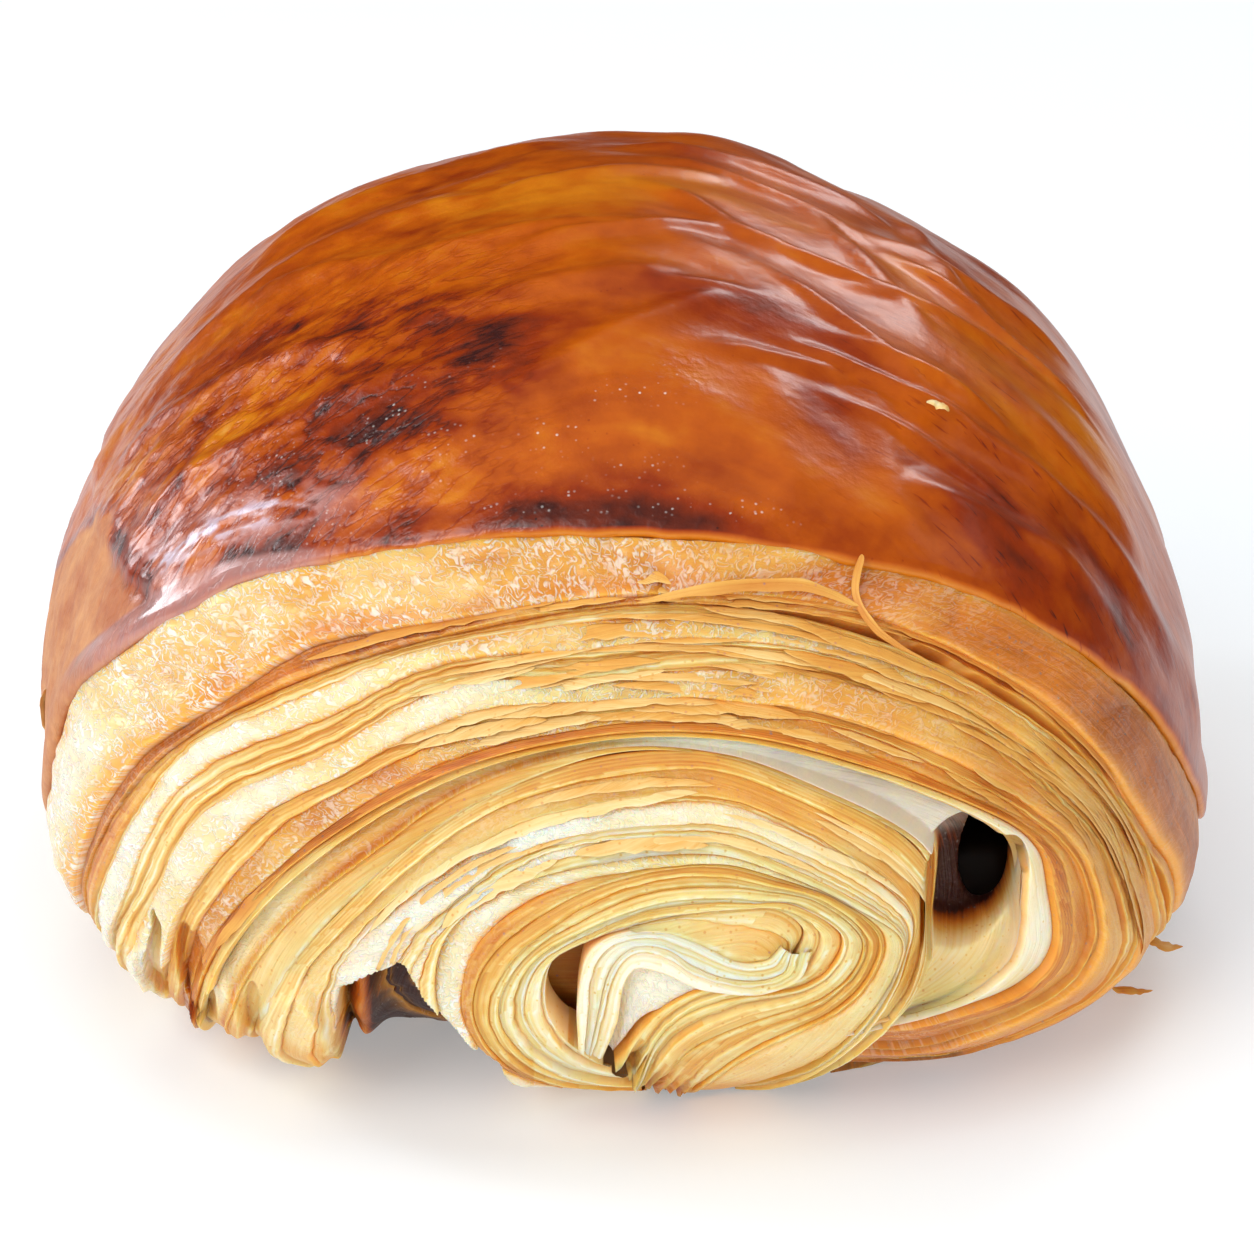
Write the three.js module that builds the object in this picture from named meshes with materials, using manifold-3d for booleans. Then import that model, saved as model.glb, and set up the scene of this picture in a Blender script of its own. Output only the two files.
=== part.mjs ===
// A pain au chocolat: laminated dough rolled up round a baton of chocolate and baked.
// Millimetres, +Z up. The roll runs along Y, and the end that shows its layers faces -Y.
// The origin is on the table under the middle of the loaf.
import * as THREE from "three";
import { LoftGeometry } from "three/addons/geometries/LoftGeometry.js";
import { RoundedBoxGeometry } from "three/addons/geometries/RoundedBoxGeometry.js";
import { mergeVertices } from "three/addons/utils/BufferGeometryUtils.js";
import Module from "manifold-3d";

// The whole loaf
const WIDTH = 88;
const LENGTH = 105;
const HEIGHT = 56;
const AXIS_HEIGHT = 18; // level of the widest part of a section
const UNDER_REACH = 23; // how deep the rounding below the axis would go without the table
const UNDER_POWER = 2.6; // squareness of a section below the axis
const END_POWER_ROOF = 2.3; // squareness of the ends, seen from the side
const END_POWER_SIDE = 2.6; // squareness of the ends, seen from above

// The roll's wraps on an end face, from the core outwards. Left and right are the x of the widest points,
// waist is their height, top and base are the heights of the highest and lowest points.
// Swell is how far the dough between this wrap and the next bulges out of the face.
const WRAPS = [
  { name: "core", left: 6, right: 10, top: 17.8, base: 14.6, waist: 16.2, swell: 1.0 },
  { name: "inner turn", left: -3, right: 14.8, top: 20.4, base: 10.5, waist: 16, swell: 0.9 },
  { name: "second turn", left: -8, right: 17.2, top: 21.8, base: 6.5, waist: 15.5, swell: 0.8 },
  { name: "first turn", left: -13, right: 18.8, top: 23.8, base: 3.2, waist: 15, swell: 0.9 },
  { name: "coil jacket", left: -25, right: 21.4, top: 28, base: 2.2, waist: 14.5, swell: 0.5 },
  { name: "orange edge", left: -29.4, right: 29.4, top: 31.6, base: 1.6, waist: 12, swell: 0.8 },
  { name: "inner band", left: -33, right: 34.4, top: 34.8, base: 1.1, waist: 11, swell: 0.9 },
  { name: "middle band", left: -36.5, right: 37.6, top: 37.2, base: 0.7, waist: 11.5, swell: 0.7 },
  { name: "bubbly band", left: -39.2, right: 39.6, top: 39.4, base: 0.3, waist: 12.5, swell: 1.1 },
  { name: "crust lip", left: -42, right: 42.4, top: 43.4, base: 0, waist: 15, swell: 0 },
];
const JACKET = 4; // place of the coil jacket in the list
const ORANGE_EDGE = 5; // place of the orange edge in the list
const WRAP_POWER = 2.3; // squareness of a wrap below its waist
const CREVICE = 1.1; // depth of the joints between wraps
const CORE_RISE = 1.4; // how far the core stands out
const FRONT_STEPS = [0, 0.22, 0.5, 0.78]; // rings modelled between one wrap and the next
const BACK_STEPS = [0, 0.5];

// The seam that shows the dough is one sheet rolled up
const SEAM_WIDTH = 0.9;
const SEAM_DEPTH = 2.6;
const SEAM_TURNS = 3.4;
const SEAM_START = (220 * Math.PI) / 180; // at the jacket's left foot
const SEAM_POINTS = 84;

// The crust
const LIP_RISE = 1.1; // how far the crust stands out over the end face
const LIP_SHARE = 0.07; // share of the crust's length over which that rise fades
const WRINKLE = 0.55; // height of the crust's folds
const CRUST_RINGS = 18;
const SIDES = 56;
const FINEST = 0.04; // relief finer than this is left out

// The chocolate baton, and the hollow of the roll it lies in
const BATON_WIDTH = 5.6;
const BATON_TALL = 6.6;
const BATON_LENGTH = 78;
const BATON_X = 25;
const BATON_Z = 16;
const BATON_ROUNDING = 1.6;
const BATON_GAP = 0.3;
const HOLLOW_DEPTH = 24; // from the end of the loaf inwards
const HOLLOW_FROM = (-66 * Math.PI) / 180; // its lower tip
const HOLLOW_TO = (58 * Math.PI) / 180; // its upper tip
const HOLLOW_INSET = 0.12; // dough left on each side, as a share of the space between the two wraps
const HOLLOW_POINTS = 20;

// Small hollows of the end face: the slit beside the core, and the gap under the left foot of the roll
const SLIT = { x: -3.8, z: 13.4, wide: 1.3, tall: 3.4, lean: -0.12, depth: 9 };
const FOOT_GAP = { x: -16.2, z: 0.6, wide: 3.2, tall: 5.2, lean: 0.35, depth: 16 };

const wasm = await Module();
wasm.setup();

const mix = (a, b, share) => a + (b - a) * share;

// Direction of one of the sides of a ring, counted clockwise as seen from the front.
const roundAngle = (k) => (-2 * Math.PI * k) / SIDES;

// Distance from the loaf's axis to its skin in the middle section.
function sectionRadius(angle) {
  const across = Math.abs(Math.cos(angle)) / (WIDTH / 2);
  const along = Math.sin(angle);
  if (along >= 0) {
    const rise = along / (HEIGHT - AXIS_HEIGHT);
    return Math.hypot(across, rise) ** -1;
  }
  const drop = -along / UNDER_REACH;
  return (across ** UNDER_POWER + drop ** UNDER_POWER) ** (-1 / UNDER_POWER);
}

// Squareness of the end in a direction round the axis.
function endPower(angle) {
  const up = Math.max(Math.sin(angle), 0) ** 2;
  return mix(END_POWER_SIDE, END_POWER_ROOF, up);
}

// How far the rounded end reaches along Y at a point of a section.
function endReach(x, z) {
  const angle = Math.atan2(z - AXIS_HEIGHT, x);
  const share = Math.min(Math.hypot(x, z - AXIS_HEIGHT) / sectionRadius(angle), 1);
  const power = endPower(angle);
  return (LENGTH / 2) * (1 - share ** power) ** (1 / power);
}

// The wrap that lies a share of the way from one to another.
function between(inner, outer, share) {
  const made = {};
  for (const key of ["left", "right", "top", "base", "waist"]) made[key] = mix(inner[key], outer[key], share);
  return made;
}

// A point of a wrap: half an ellipse above the waist and a squarer one below it.
function wrapPoint(wrap, angle) {
  const middle = (wrap.left + wrap.right) / 2;
  const half = (wrap.right - wrap.left) / 2;
  const c = Math.cos(angle);
  const s = Math.sin(angle);
  if (s >= 0) return [middle + half * c, wrap.waist + (wrap.top - wrap.waist) * s];
  const wide = Math.sign(c) * Math.abs(c) ** (2 / WRAP_POWER);
  const deep = Math.abs(s) ** (2 / WRAP_POWER);
  return [middle + half * wide, wrap.waist - (wrap.waist - wrap.base) * deep];
}

// Moves a point of the skin away from the loaf's core, less near the table, and keeps it on or above the table.
function raise(point, amount) {
  const core = new THREE.Vector3(0, 0.4 * point.y, AXIS_HEIGHT);
  const nearTable = THREE.MathUtils.smoothstep(point.z, 0, 5);
  const out = point.clone().sub(core).normalize();
  point.addScaledVector(out, amount * nearTable);
  point.z = Math.max(point.z, 0);
  return point;
}

// Rings of one end face, from the core out to just inside the crust's lip. Way is -1 at the front and 1 behind.
function faceRings(way, steps) {
  const rings = [];
  for (let i = 0; i < WRAPS.length - 1; i += 1) {
    for (const share of steps) {
      const wrap = between(WRAPS[i], WRAPS[i + 1], share);
      const hump = Math.sin(Math.PI * share);
      const ring = [];
      for (let k = 0; k < SIDES; k += 1) {
        const angle = roundAngle(k);
        const [x, z] = wrapPoint(wrap, angle);
        const uneven = 1 + 0.35 * Math.sin(3 * angle + 1.7 * i + way);
        const joint = i === 0 && share === 0 ? -CORE_RISE : CREVICE;
        const height = WRAPS[i].swell * hump * uneven - joint * (1 - hump) ** 2;
        ring.push(raise(new THREE.Vector3(x, way * endReach(x, z), z), height));
      }
      rings.push(ring);
    }
  }
  return rings;
}

// Folds of the baked skin: waves that slant across the roof one way on the left and the other on the right.
function wrinkle(x, y, z) {
  const slant = Math.abs(x + 4);
  const long = Math.sin(0.19 * slant + 0.13 * y + 0.9);
  const short = Math.sin(0.42 * slant - 0.21 * y + 0.11 * z);
  const cross = Math.sin(0.12 * y - 0.23 * x + 2);
  return WRINKLE * (0.9 * long + 0.6 * short * cross + 0.5 * cross);
}

// Rings of the crust from the front lip over the loaf to the back lip.
function crustRings() {
  const lip = WRAPS[WRAPS.length - 1];
  const rings = [];
  for (let j = 0; j <= CRUST_RINGS; j += 1) {
    const ring = [];
    for (let k = 0; k < SIDES; k += 1) {
      const [lipX, lipZ] = wrapPoint(lip, roundAngle(k));
      const angle = Math.atan2(lipZ - AXIS_HEIGHT, lipX);
      const radius = sectionRadius(angle);
      const power = endPower(angle);
      const turnStart = Math.atan2(Math.hypot(lipX, lipZ - AXIS_HEIGHT) / radius, endReach(lipX, lipZ) / (LENGTH / 2));
      const turn = mix(turnStart, Math.PI - turnStart, j / CRUST_RINGS);
      const q = Math.abs(Math.cos(turn));
      const r = Math.sin(turn);
      const size = (q ** power + r ** power) ** (1 / power);
      const x = (radius * r * Math.cos(angle)) / size;
      const y = (-Math.sign(Math.cos(turn)) * (LENGTH / 2) * q) / size;
      const z = Math.max(AXIS_HEIGHT + (radius * r * Math.sin(angle)) / size, 0);
      const fromLip = Math.min(j, CRUST_RINGS - j) / CRUST_RINGS;
      const height = LIP_RISE * Math.exp(-fromLip / LIP_SHARE) + wrinkle(x, y, z) * Math.min(1, 6 * fromLip);
      ring.push(raise(new THREE.Vector3(x, y, z), height));
    }
    rings.push(ring);
  }
  return rings;
}

// A geometry as a solid that can be joined and cut.
function solidOf(geometry) {
  const bare = new THREE.BufferGeometry();
  bare.setAttribute("position", geometry.getAttribute("position"));
  bare.setIndex(geometry.getIndex());
  const merged = mergeVertices(bare, 1e-4);
  const corners = Array.from(merged.getIndex().array);
  const kept = [];
  for (let i = 0; i < corners.length; i += 3) {
    const [a, b, c] = corners.slice(i, i + 3);
    if (a !== b && b !== c && c !== a) kept.push(a, b, c);
  }
  const mesh = new wasm.Mesh({
    numProp: 3,
    vertProperties: new Float32Array(merged.getAttribute("position").array),
    triVerts: new Uint32Array(kept),
  });
  return new wasm.Manifold(mesh);
}

// A cut solid as a geometry again.
function geometryOf(solid) {
  const mesh = solid.getMesh();
  const geometry = new THREE.BufferGeometry();
  geometry.setAttribute("position", new THREE.BufferAttribute(new Float32Array(mesh.vertProperties), 3));
  geometry.setIndex(new THREE.BufferAttribute(new Uint32Array(mesh.triVerts), 1));
  return geometry;
}

// A flat shape drawn in x and z, run along Y from one place to another.
function runAlongY(shape, from, to) {
  const geometry = new THREE.ExtrudeGeometry(shape, { depth: to - from, bevelEnabled: false, curveSegments: 10 });
  geometry.rotateX(Math.PI / 2);
  geometry.translate(0, to, 0);
  return solidOf(mergeVertices(geometry.deleteAttribute("normal").deleteAttribute("uv"), 1e-4));
}

// The moon-shaped space between the coil's jacket and the orange edge, on the right of the roll.
function hollowShape() {
  const outer = [];
  const inner = [];
  for (let i = 0; i <= HOLLOW_POINTS; i += 1) {
    const share = i / HOLLOW_POINTS;
    const angle = mix(HOLLOW_FROM, HOLLOW_TO, share);
    const open = Math.sin(Math.PI * mix(0.04, 0.96, share)) ** 0.6;
    const half = (0.5 - HOLLOW_INSET) * open;
    outer.push(new THREE.Vector2(...wrapPoint(between(WRAPS[JACKET], WRAPS[ORANGE_EDGE], 0.5 + half), angle)));
    inner.push(new THREE.Vector2(...wrapPoint(between(WRAPS[JACKET], WRAPS[ORANGE_EDGE], 0.5 - half), angle)));
  }
  return new THREE.Shape([...outer, ...inner.reverse()]);
}

// An oval of the end face, as a shape.
function ovalShape(oval) {
  const shape = new THREE.Shape();
  shape.absellipse(oval.x, oval.z, oval.wide, oval.tall, 0, 2 * Math.PI, false, oval.lean);
  return shape;
}

// A thin band that follows the seam inwards turn by turn and sinks into the end face.
function seam(way) {
  const sections = [];
  for (let i = 0; i <= SEAM_POINTS; i += 1) {
    const turns = (SEAM_TURNS * i) / SEAM_POINTS;
    const angle = SEAM_START - 2 * Math.PI * turns;
    const place = Math.max(JACKET - turns, 0);
    const inner = WRAPS[Math.floor(place)];
    const outer = WRAPS[Math.min(Math.floor(place) + 1, JACKET)];
    const wrap = between(inner, outer, place - Math.floor(place));
    const [x, z] = wrapPoint(wrap, angle);
    const middle = new THREE.Vector2((wrap.left + wrap.right) / 2, wrap.waist);
    const out = new THREE.Vector2(x, z).sub(middle).normalize().multiplyScalar(SEAM_WIDTH / 2);
    const floor = way * (endReach(x, z) - SEAM_DEPTH);
    const clear = way * (LENGTH / 2 + 5);
    const section = [
      new THREE.Vector3(x + out.x, floor, z + out.y),
      new THREE.Vector3(x - out.x, floor, z - out.y),
      new THREE.Vector3(x - out.x, clear, z - out.y),
      new THREE.Vector3(x + out.x, clear, z + out.y),
    ];
    sections.push(way < 0 ? section.reverse() : section);
  }
  return solidOf(new LoftGeometry(sections, { capStart: true, capEnd: true }));
}

function pastry() {
  const rings = [...faceRings(-1, FRONT_STEPS), ...crustRings(), ...faceRings(1, BACK_STEPS).reverse()];
  let loaf = solidOf(new LoftGeometry(rings, { capStart: true, capEnd: true }));
  const end = LENGTH / 2 + 6;
  const bore = new RoundedBoxGeometry(
    BATON_WIDTH + 2 * BATON_GAP,
    2 * end,
    BATON_TALL + 2 * BATON_GAP,
    2,
    BATON_ROUNDING,
  );
  bore.translate(BATON_X, 0, BATON_Z);
  const hollow = hollowShape();
  const inside = LENGTH / 2 - HOLLOW_DEPTH;
  const cuts = [
    solidOf(bore),
    runAlongY(hollow, -end, -inside),
    runAlongY(hollow, inside, end),
    runAlongY(ovalShape(SLIT), -end, SLIT.depth - LENGTH / 2),
    runAlongY(ovalShape(FOOT_GAP), -end, FOOT_GAP.depth - LENGTH / 2),
    seam(-1),
    seam(1),
  ];
  for (const cut of cuts) loaf = loaf.subtract(cut);
  const bodies = loaf.decompose().sort((a, b) => b.volume() - a.volume());
  return geometryOf(bodies[0].simplify(FINEST));
}

function chocolateBaton() {
  const baton = new RoundedBoxGeometry(BATON_WIDTH, BATON_LENGTH, BATON_TALL, 2, BATON_ROUNDING);
  baton.translate(BATON_X, 0, BATON_Z);
  return geometryOf(solidOf(baton));
}

// Moves a piece so that the loaf's box stands on the origin, middle over it.
function settle(geometry, box) {
  const middle = box.getCenter(new THREE.Vector3());
  geometry.translate(-middle.x, -middle.y, -box.min.z);
  return geometry;
}

const dough = new THREE.MeshStandardMaterial({ name: "baked_dough", color: 0xc9873a, roughness: 0.55 });
const chocolate = new THREE.MeshStandardMaterial({ name: "dark_chocolate", color: 0x24130c, roughness: 0.4 });

const loafGeometry = pastry();
loafGeometry.computeBoundingBox();
const loafBox = loafGeometry.boundingBox.clone();

const part = new THREE.Group();
part.name = "pain_au_chocolat";
const pieces = [
  ["pastry", loafGeometry, dough],
  ["chocolate_baton", chocolateBaton(), chocolate],
];
for (const [name, geometry, material] of pieces) {
  const mesh = new THREE.Mesh(settle(geometry, loafBox), material);
  mesh.name = name;
  part.add(mesh);
}

export default part;
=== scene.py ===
import math

import bpy
import numpy as np
from bpy.props import FloatProperty, FloatVectorProperty, PointerProperty
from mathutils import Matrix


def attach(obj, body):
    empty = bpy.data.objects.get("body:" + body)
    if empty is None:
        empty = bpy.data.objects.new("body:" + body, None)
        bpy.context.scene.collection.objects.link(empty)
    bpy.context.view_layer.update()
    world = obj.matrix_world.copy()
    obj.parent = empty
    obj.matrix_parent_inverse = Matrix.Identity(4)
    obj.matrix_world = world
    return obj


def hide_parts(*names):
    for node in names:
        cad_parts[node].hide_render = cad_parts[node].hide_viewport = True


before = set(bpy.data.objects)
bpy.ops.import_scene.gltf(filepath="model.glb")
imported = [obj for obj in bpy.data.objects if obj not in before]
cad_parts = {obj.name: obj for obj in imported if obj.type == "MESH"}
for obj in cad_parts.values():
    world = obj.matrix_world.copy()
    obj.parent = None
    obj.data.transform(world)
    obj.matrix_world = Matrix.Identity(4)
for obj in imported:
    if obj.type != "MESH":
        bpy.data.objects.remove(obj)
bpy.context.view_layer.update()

bl_info = {
    "name": "Pain au chocolat",
    "version": (1, 0, 0),
    "blender": (4, 5, 0),
    "location": "View3D > Sidebar > Pastry",
    "description": "Builds a baked pain au chocolat from formulas",
    "category": "Add Mesh",
}

MM = 0.001
FRONT = -1.0
BACK = 1.0
# Streaks of the crust: how far they fan out from the middle, and how round they are there.
FAN_SLOPE = 0.38
FAN_ROUND = 5.0
# Darkest tone of the bake, and tone of the lip's edge.
DARKEST = 0.92
LIP_TONE = 0.22

# Guide lines of the roll on an end face, as x and z in millimetres, from the left over the top to the right.
LIP = [(-38, 0), (-41.6, 7), (-42.2, 16), (-37.8, 28.2), (-23.5, 39.2), (-0.5, 43.3), (21.5, 39),
       (35.5, 29), (41.8, 17), (42.2, 9), (40.5, 4), (38.5, 1.5), (37, 0)]
BAND_EDGE = [(-35.5, 0), (-38.2, 7), (-37.4, 16), (-31.3, 26.6), (-18.5, 34.9), (0, 39.2), (17, 37),
             (30, 28.4), (37.6, 15.5), (38, 8), (35.5, 2.6), (29, 0.4), (15, 0.1)]
# The outer edge of the sheets, with as many places as the orange edge.
SHEET_EDGE = [(-35.5, 0), (-38.2, 7), (-37.4, 16), (-31.3, 26.6), (-18.5, 34.9), (-2, 39.1), (11, 38.4),
              (22.5, 33.8), (31.5, 26.4), (36.6, 18.6), (38, 11), (37.2, 5), (33.5, 1.6), (26, 0.4),
              (15, 0.1)]
ORANGE_EDGE = [(-28.5, 0), (-29.4, 6), (-27.2, 14.6), (-21.4, 22.2), (-12.2, 28.6), (-2, 31.5),
               (8, 31.4), (17.3, 28.5), (24.7, 24.6), (28.4, 21.2), (29.5, 17.2), (29.3, 13.3),
               (27, 10.8), (22, 9.6), (13, 8.5)]
JACKET = [(-24.5, 0.4), (-25.6, 5), (-22, 14.4), (-16.5, 21.4), (-9.5, 27), (-1, 30.4), (7, 30.1),
          (14, 27.1), (18.9, 24.1), (20.9, 21.4), (21.2, 18), (20.8, 14.8), (19.6, 12.2), (18.3, 10),
          (13, 9)]

# The coil's turns, from the bottom round the left, over the top and back along the bottom.
JACKET_TURN = [(-16.5, 0.3), (-20, 0.6), (-25.2, 4), (-23.8, 11.5), (-18.7, 19), (-12.2, 25.4),
               (-4, 29.6), (5, 30.6), (12, 28.2), (18, 24.8), (21, 21.2), (21.3, 17.4), (20.3, 12.6),
               (17, 7.6), (13.8, 3.6), (10.5, 0.6)]
TURN_ONE = [(2, 0.7), (-4.5, 2), (-9.5, 6), (-12.4, 11.5), (-11.8, 17.5), (-7.5, 21.4), (-0.5, 23.3),
            (6.1, 23.8), (11, 22.2), (15.4, 19.7), (18.8, 16.9), (18.6, 14.2), (16.8, 10.5), (13.5, 5.5),
            (10.3, 2.6), (7.4, 0.6)]
TURN_TWO = [(1.8, 2), (-3.5, 3.2), (-8, 7), (-10, 12), (-8.6, 16.6), (-4, 20.4), (0.8, 22.4), (6.1, 23),
            (10.5, 21.8), (14.2, 20.3), (17.2, 17.3), (16.7, 14.4), (14.4, 11.6), (9.5, 8.8), (6.5, 5.5),
            (4.5, 1)]
TURN_THREE = [(1.2, 3.4), (-2.8, 4.4), (-6.6, 7.8), (-8.3, 12), (-6.6, 16.2), (-2.4, 19.3), (2.2, 21.2),
              (6.4, 21.5), (9.6, 21.1), (13.1, 20.1), (16.1, 17.3), (15.7, 14.7), (13.2, 12.6),
              (8, 10.8), (4.3, 8.2), (2, 2.6)]
TURN_FOUR = [(0.4, 4.8), (-2, 5.6), (-5, 8.4), (-6.5, 12), (-5.4, 15.8), (-1.9, 18.2), (1.8, 19.8),
             (5.7, 20.3), (8.7, 20.2), (11.5, 20), (14.7, 17.7), (14.3, 15.3), (12.2, 13.7), (7, 12.8),
             (3.2, 10.6), (0.8, 5)]
TURN_FIVE = [(-1.2, 6.4), (-2.2, 7.4), (-4.2, 10), (-5.1, 12.8), (-4.6, 16), (-2.2, 17.5), (0.6, 18.6),
             (4.1, 19.4), (7.3, 19.7), (10.4, 19.6), (12.3, 18), (11.9, 16.2), (10.8, 14.6), (6.8, 14.1),
             (2.7, 11.9), (-0.5, 7.4)]
FOLD_ONE = [(-2.9, 9.3), (-3, 12.4), (-2.8, 14.6), (-2.3, 16.7), (-1, 17.9), (1.3, 18.5), (3.6, 18.3),
            (5.7, 17.2), (7.8, 16), (9.7, 16), (10.8, 17)]
FOLD_TWO = [(-2.2, 8.4), (-1.5, 12.4), (-0.9, 15.2), (0, 16.7), (1.3, 17.4), (3.2, 17.1), (4.8, 15.9),
            (6.9, 14.9), (9.2, 14.6), (10.9, 15.2), (11.4, 16.6)]
FOLD_THREE = [(-1.3, 7.8), (-0.3, 11.2), (0.1, 14.1), (0.8, 15.6), (1.8, 15.7), (3.2, 15.2), (5, 14.3),
              (7.4, 13.8), (9.7, 13.7), (12, 14.6), (12.8, 16.6)]
FOLD_FLOOR = [(-0.6, 7.4), (0.3, 9.2), (1, 10.6), (1.8, 11.4), (2.7, 11.9), (4, 12.9), (5.6, 13.6),
              (7.5, 13.5), (9.7, 13.4), (12.1, 14.4), (13, 16.5)]
BULB_TOP = [(0.4, 18.5), (2.2, 19), (4.1, 19.4), (7.3, 19.7), (10.4, 19.6), (12.2, 18), (11.6, 16.2)]
BULB_BASE = [(1, 18.4), (2.4, 18.4), (3.8, 18.1), (5.8, 17.1), (7.8, 16), (9.7, 16), (10.8, 16)]

# Layers between guide lines, outermost first: width, rise, squareness, web, then tones from left to right.
BAND_LAYERS = [
    (0.5, 0.9, 2.0, 0.2, 0.66, 0.60, 0.72),
    (5.4, 1.7, 2.6, 1.0, 0.30, 0.36, 0.48, 0.60, 0.72, 0.82, 0.84),
    (1.3, 1.2, 3.0, 0.2, 0.72, 0.64, 0.62),
]
SHEET_LAYERS = [
    ((0.7, 0.4, 0.5), 1.2, 3.0, 0.1, 0.60, 0.52, 0.66),
    ((0.4, 0.5, 0.6), 1.2, 4.0, 0.0, 0.32, 0.38, 0.58),
    ((1.5, 1.4, 1.6), 1.4, 2.4, 1.0, 0.15, 0.48, 0.64),
    ((0.5, 0.5, 0.4), 1.2, 4.0, 0.0, 0.34, 0.44, 0.56),
    ((0.4, 0.4, 0.5), 1.1, 4.0, 0.0, 0.36, 0.50, 0.62),
    ((0.5, 0.5, 0.4), 1.3, 4.0, 0.0, 0.32, 0.42, 0.54),
    ((0.4, 0.4, 0.5), 1.1, 4.0, 0.0, 0.36, 0.52, 0.60),
    ((2.8, 1.6, 2.0), 1.6, 2.4, 1.0, 0.12, 0.48, 0.62),
    ((1.2, 0.8, 0.6), 1.2, 4.0, 0.0, 0.42, 0.54, 0.54),
    ((1.2, 1.2, 1.6), 1.2, 2.6, 0.6, 0.54, 0.58, 0.56),
    ((0.7, 0.6, 1.4), 1.5, 3.0, 0.0, 0.66, 0.62, 0.60),
]
MOUTH_LAYERS = [
    ((0.5, 0.8, 2.2), 1.3, 3.0, 0.0, 0.34, 0.40, 0.06),
    ((1.6, 1.6, 5.5), 0.9, 8.0, 0.3, 0.14, 0.24, 0.42, 0.36, 0.10, -0.14, -0.14, 0.14, 0.30),
    ((1.6, 0.6, 0.3), 1.1, 4.0, 0.0, 0.28, 0.46, 0.30),
]
JACKET_LAYERS = [
    ((1.0, 1.3, 1.2), 1.3, 4.0, 0.0, 0.18, 0.52, 0.28),
    ((0.9, 1.3, 2.8), 1.1, 4.0, 0.2, 0.20, 0.54, 0.30),
    ((0.5, 0.4, 0.3), 1.1, 4.0, 0.0, 0.20, 0.40, 0.30),
    ((2.0, 2.0, 1.0), 1.4, 2.6, 1.0, 0.14, 0.20, 0.30),
    ((0.5, 0.4, 0.3), 1.1, 4.0, 0.0, 0.26, 0.32, 0.32),
    ((0.5, 0.4, 0.3), 1.2, 4.0, 0.0, 0.24, 0.30, 0.32),
    ((0.9, 0.5, 0.6), 1.2, 2.6, 0.9, 0.18, 0.24, 0.30),
    ((0.6, 0.5, 0.4), 1.4, 4.0, 0.0, 0.30, 0.28, 0.32),
]
RIM_LAYERS = [
    (2.0, 1.3, 2.6, 1.0, 0.04, 0.38, 0.36),
    (0.9, 1.4, 3.0, 0.1, 0.56, 0.52, 0.44),
]
TURN_LAYERS = [
    (0.7, 1.4, 3.0, 0.0, 0.44, 0.46, 0.42),
    (0.6, 1.2, 3.0, 0.0, 0.34, 0.40, 0.38),
]
PALE_LAYERS = [
    (0.7, 1.4, 3.0, 0.0, 0.28, 0.34, 0.36),
    (0.6, 1.2, 3.0, 0.0, 0.24, 0.30, 0.34),
]
FOLD_LAYERS = [
    (0.6, 1.5, 3.0, 0.0, 0.18, 0.12, 0.22),
    (0.6, 1.4, 3.0, 0.0, 0.16, 0.10, 0.22),
]
WEB_LAYERS = [
    (1.0, 1.0, 3.0, 0.9, 0.02, 0.00, 0.16),
]
BULB_LAYERS = [
    (0.7, 1.2, 3.0, 0.0, 0.30, 0.36, 0.40),
    (1.5, 1.4, 3.0, 0.0, 0.28, 0.34, 0.40),
]


# Sizes and colours

def length_property(name, description, default):
    """A length in metres for the sidebar."""
    return FloatProperty(name=name, description=description, default=default, unit="LENGTH")


def colour_property(name, description, default):
    """A colour as linear light for the sidebar."""
    return FloatVectorProperty(name=name, description=description, default=default, subtype="COLOR", size=3,
                               min=0.0, max=1.0)


class LoafSizes(bpy.types.PropertyGroup):
    """Sizes of the loaf."""
    width: length_property("Width", "Across the roll", 0.088)
    length: length_property("Length", "Along the roll", 0.105)
    height: length_property("Height", "Table to roof", 0.056)
    axis_height: length_property("Axis height", "Level of the widest part", 0.018)
    under_reach: length_property("Under reach", "Depth of the rounding below the axis", 0.023)
    crust_rise: length_property("Crust rise", "How far the crust stands out over the end face", 0.0006)
    fold_height: length_property("Fold height", "Height of the crust's folds", 0.0009)
    baton_width: length_property("Baton width", "Width of the chocolate", 0.0056)
    baton_tall: length_property("Baton height", "Height of the chocolate", 0.0066)
    baton_length: length_property("Baton length", "Length of the chocolate", 0.078)
    baton_x: length_property("Baton place", "Right of the loaf's middle", 0.025)
    baton_z: length_property("Baton level", "Above the table", 0.016)


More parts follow.
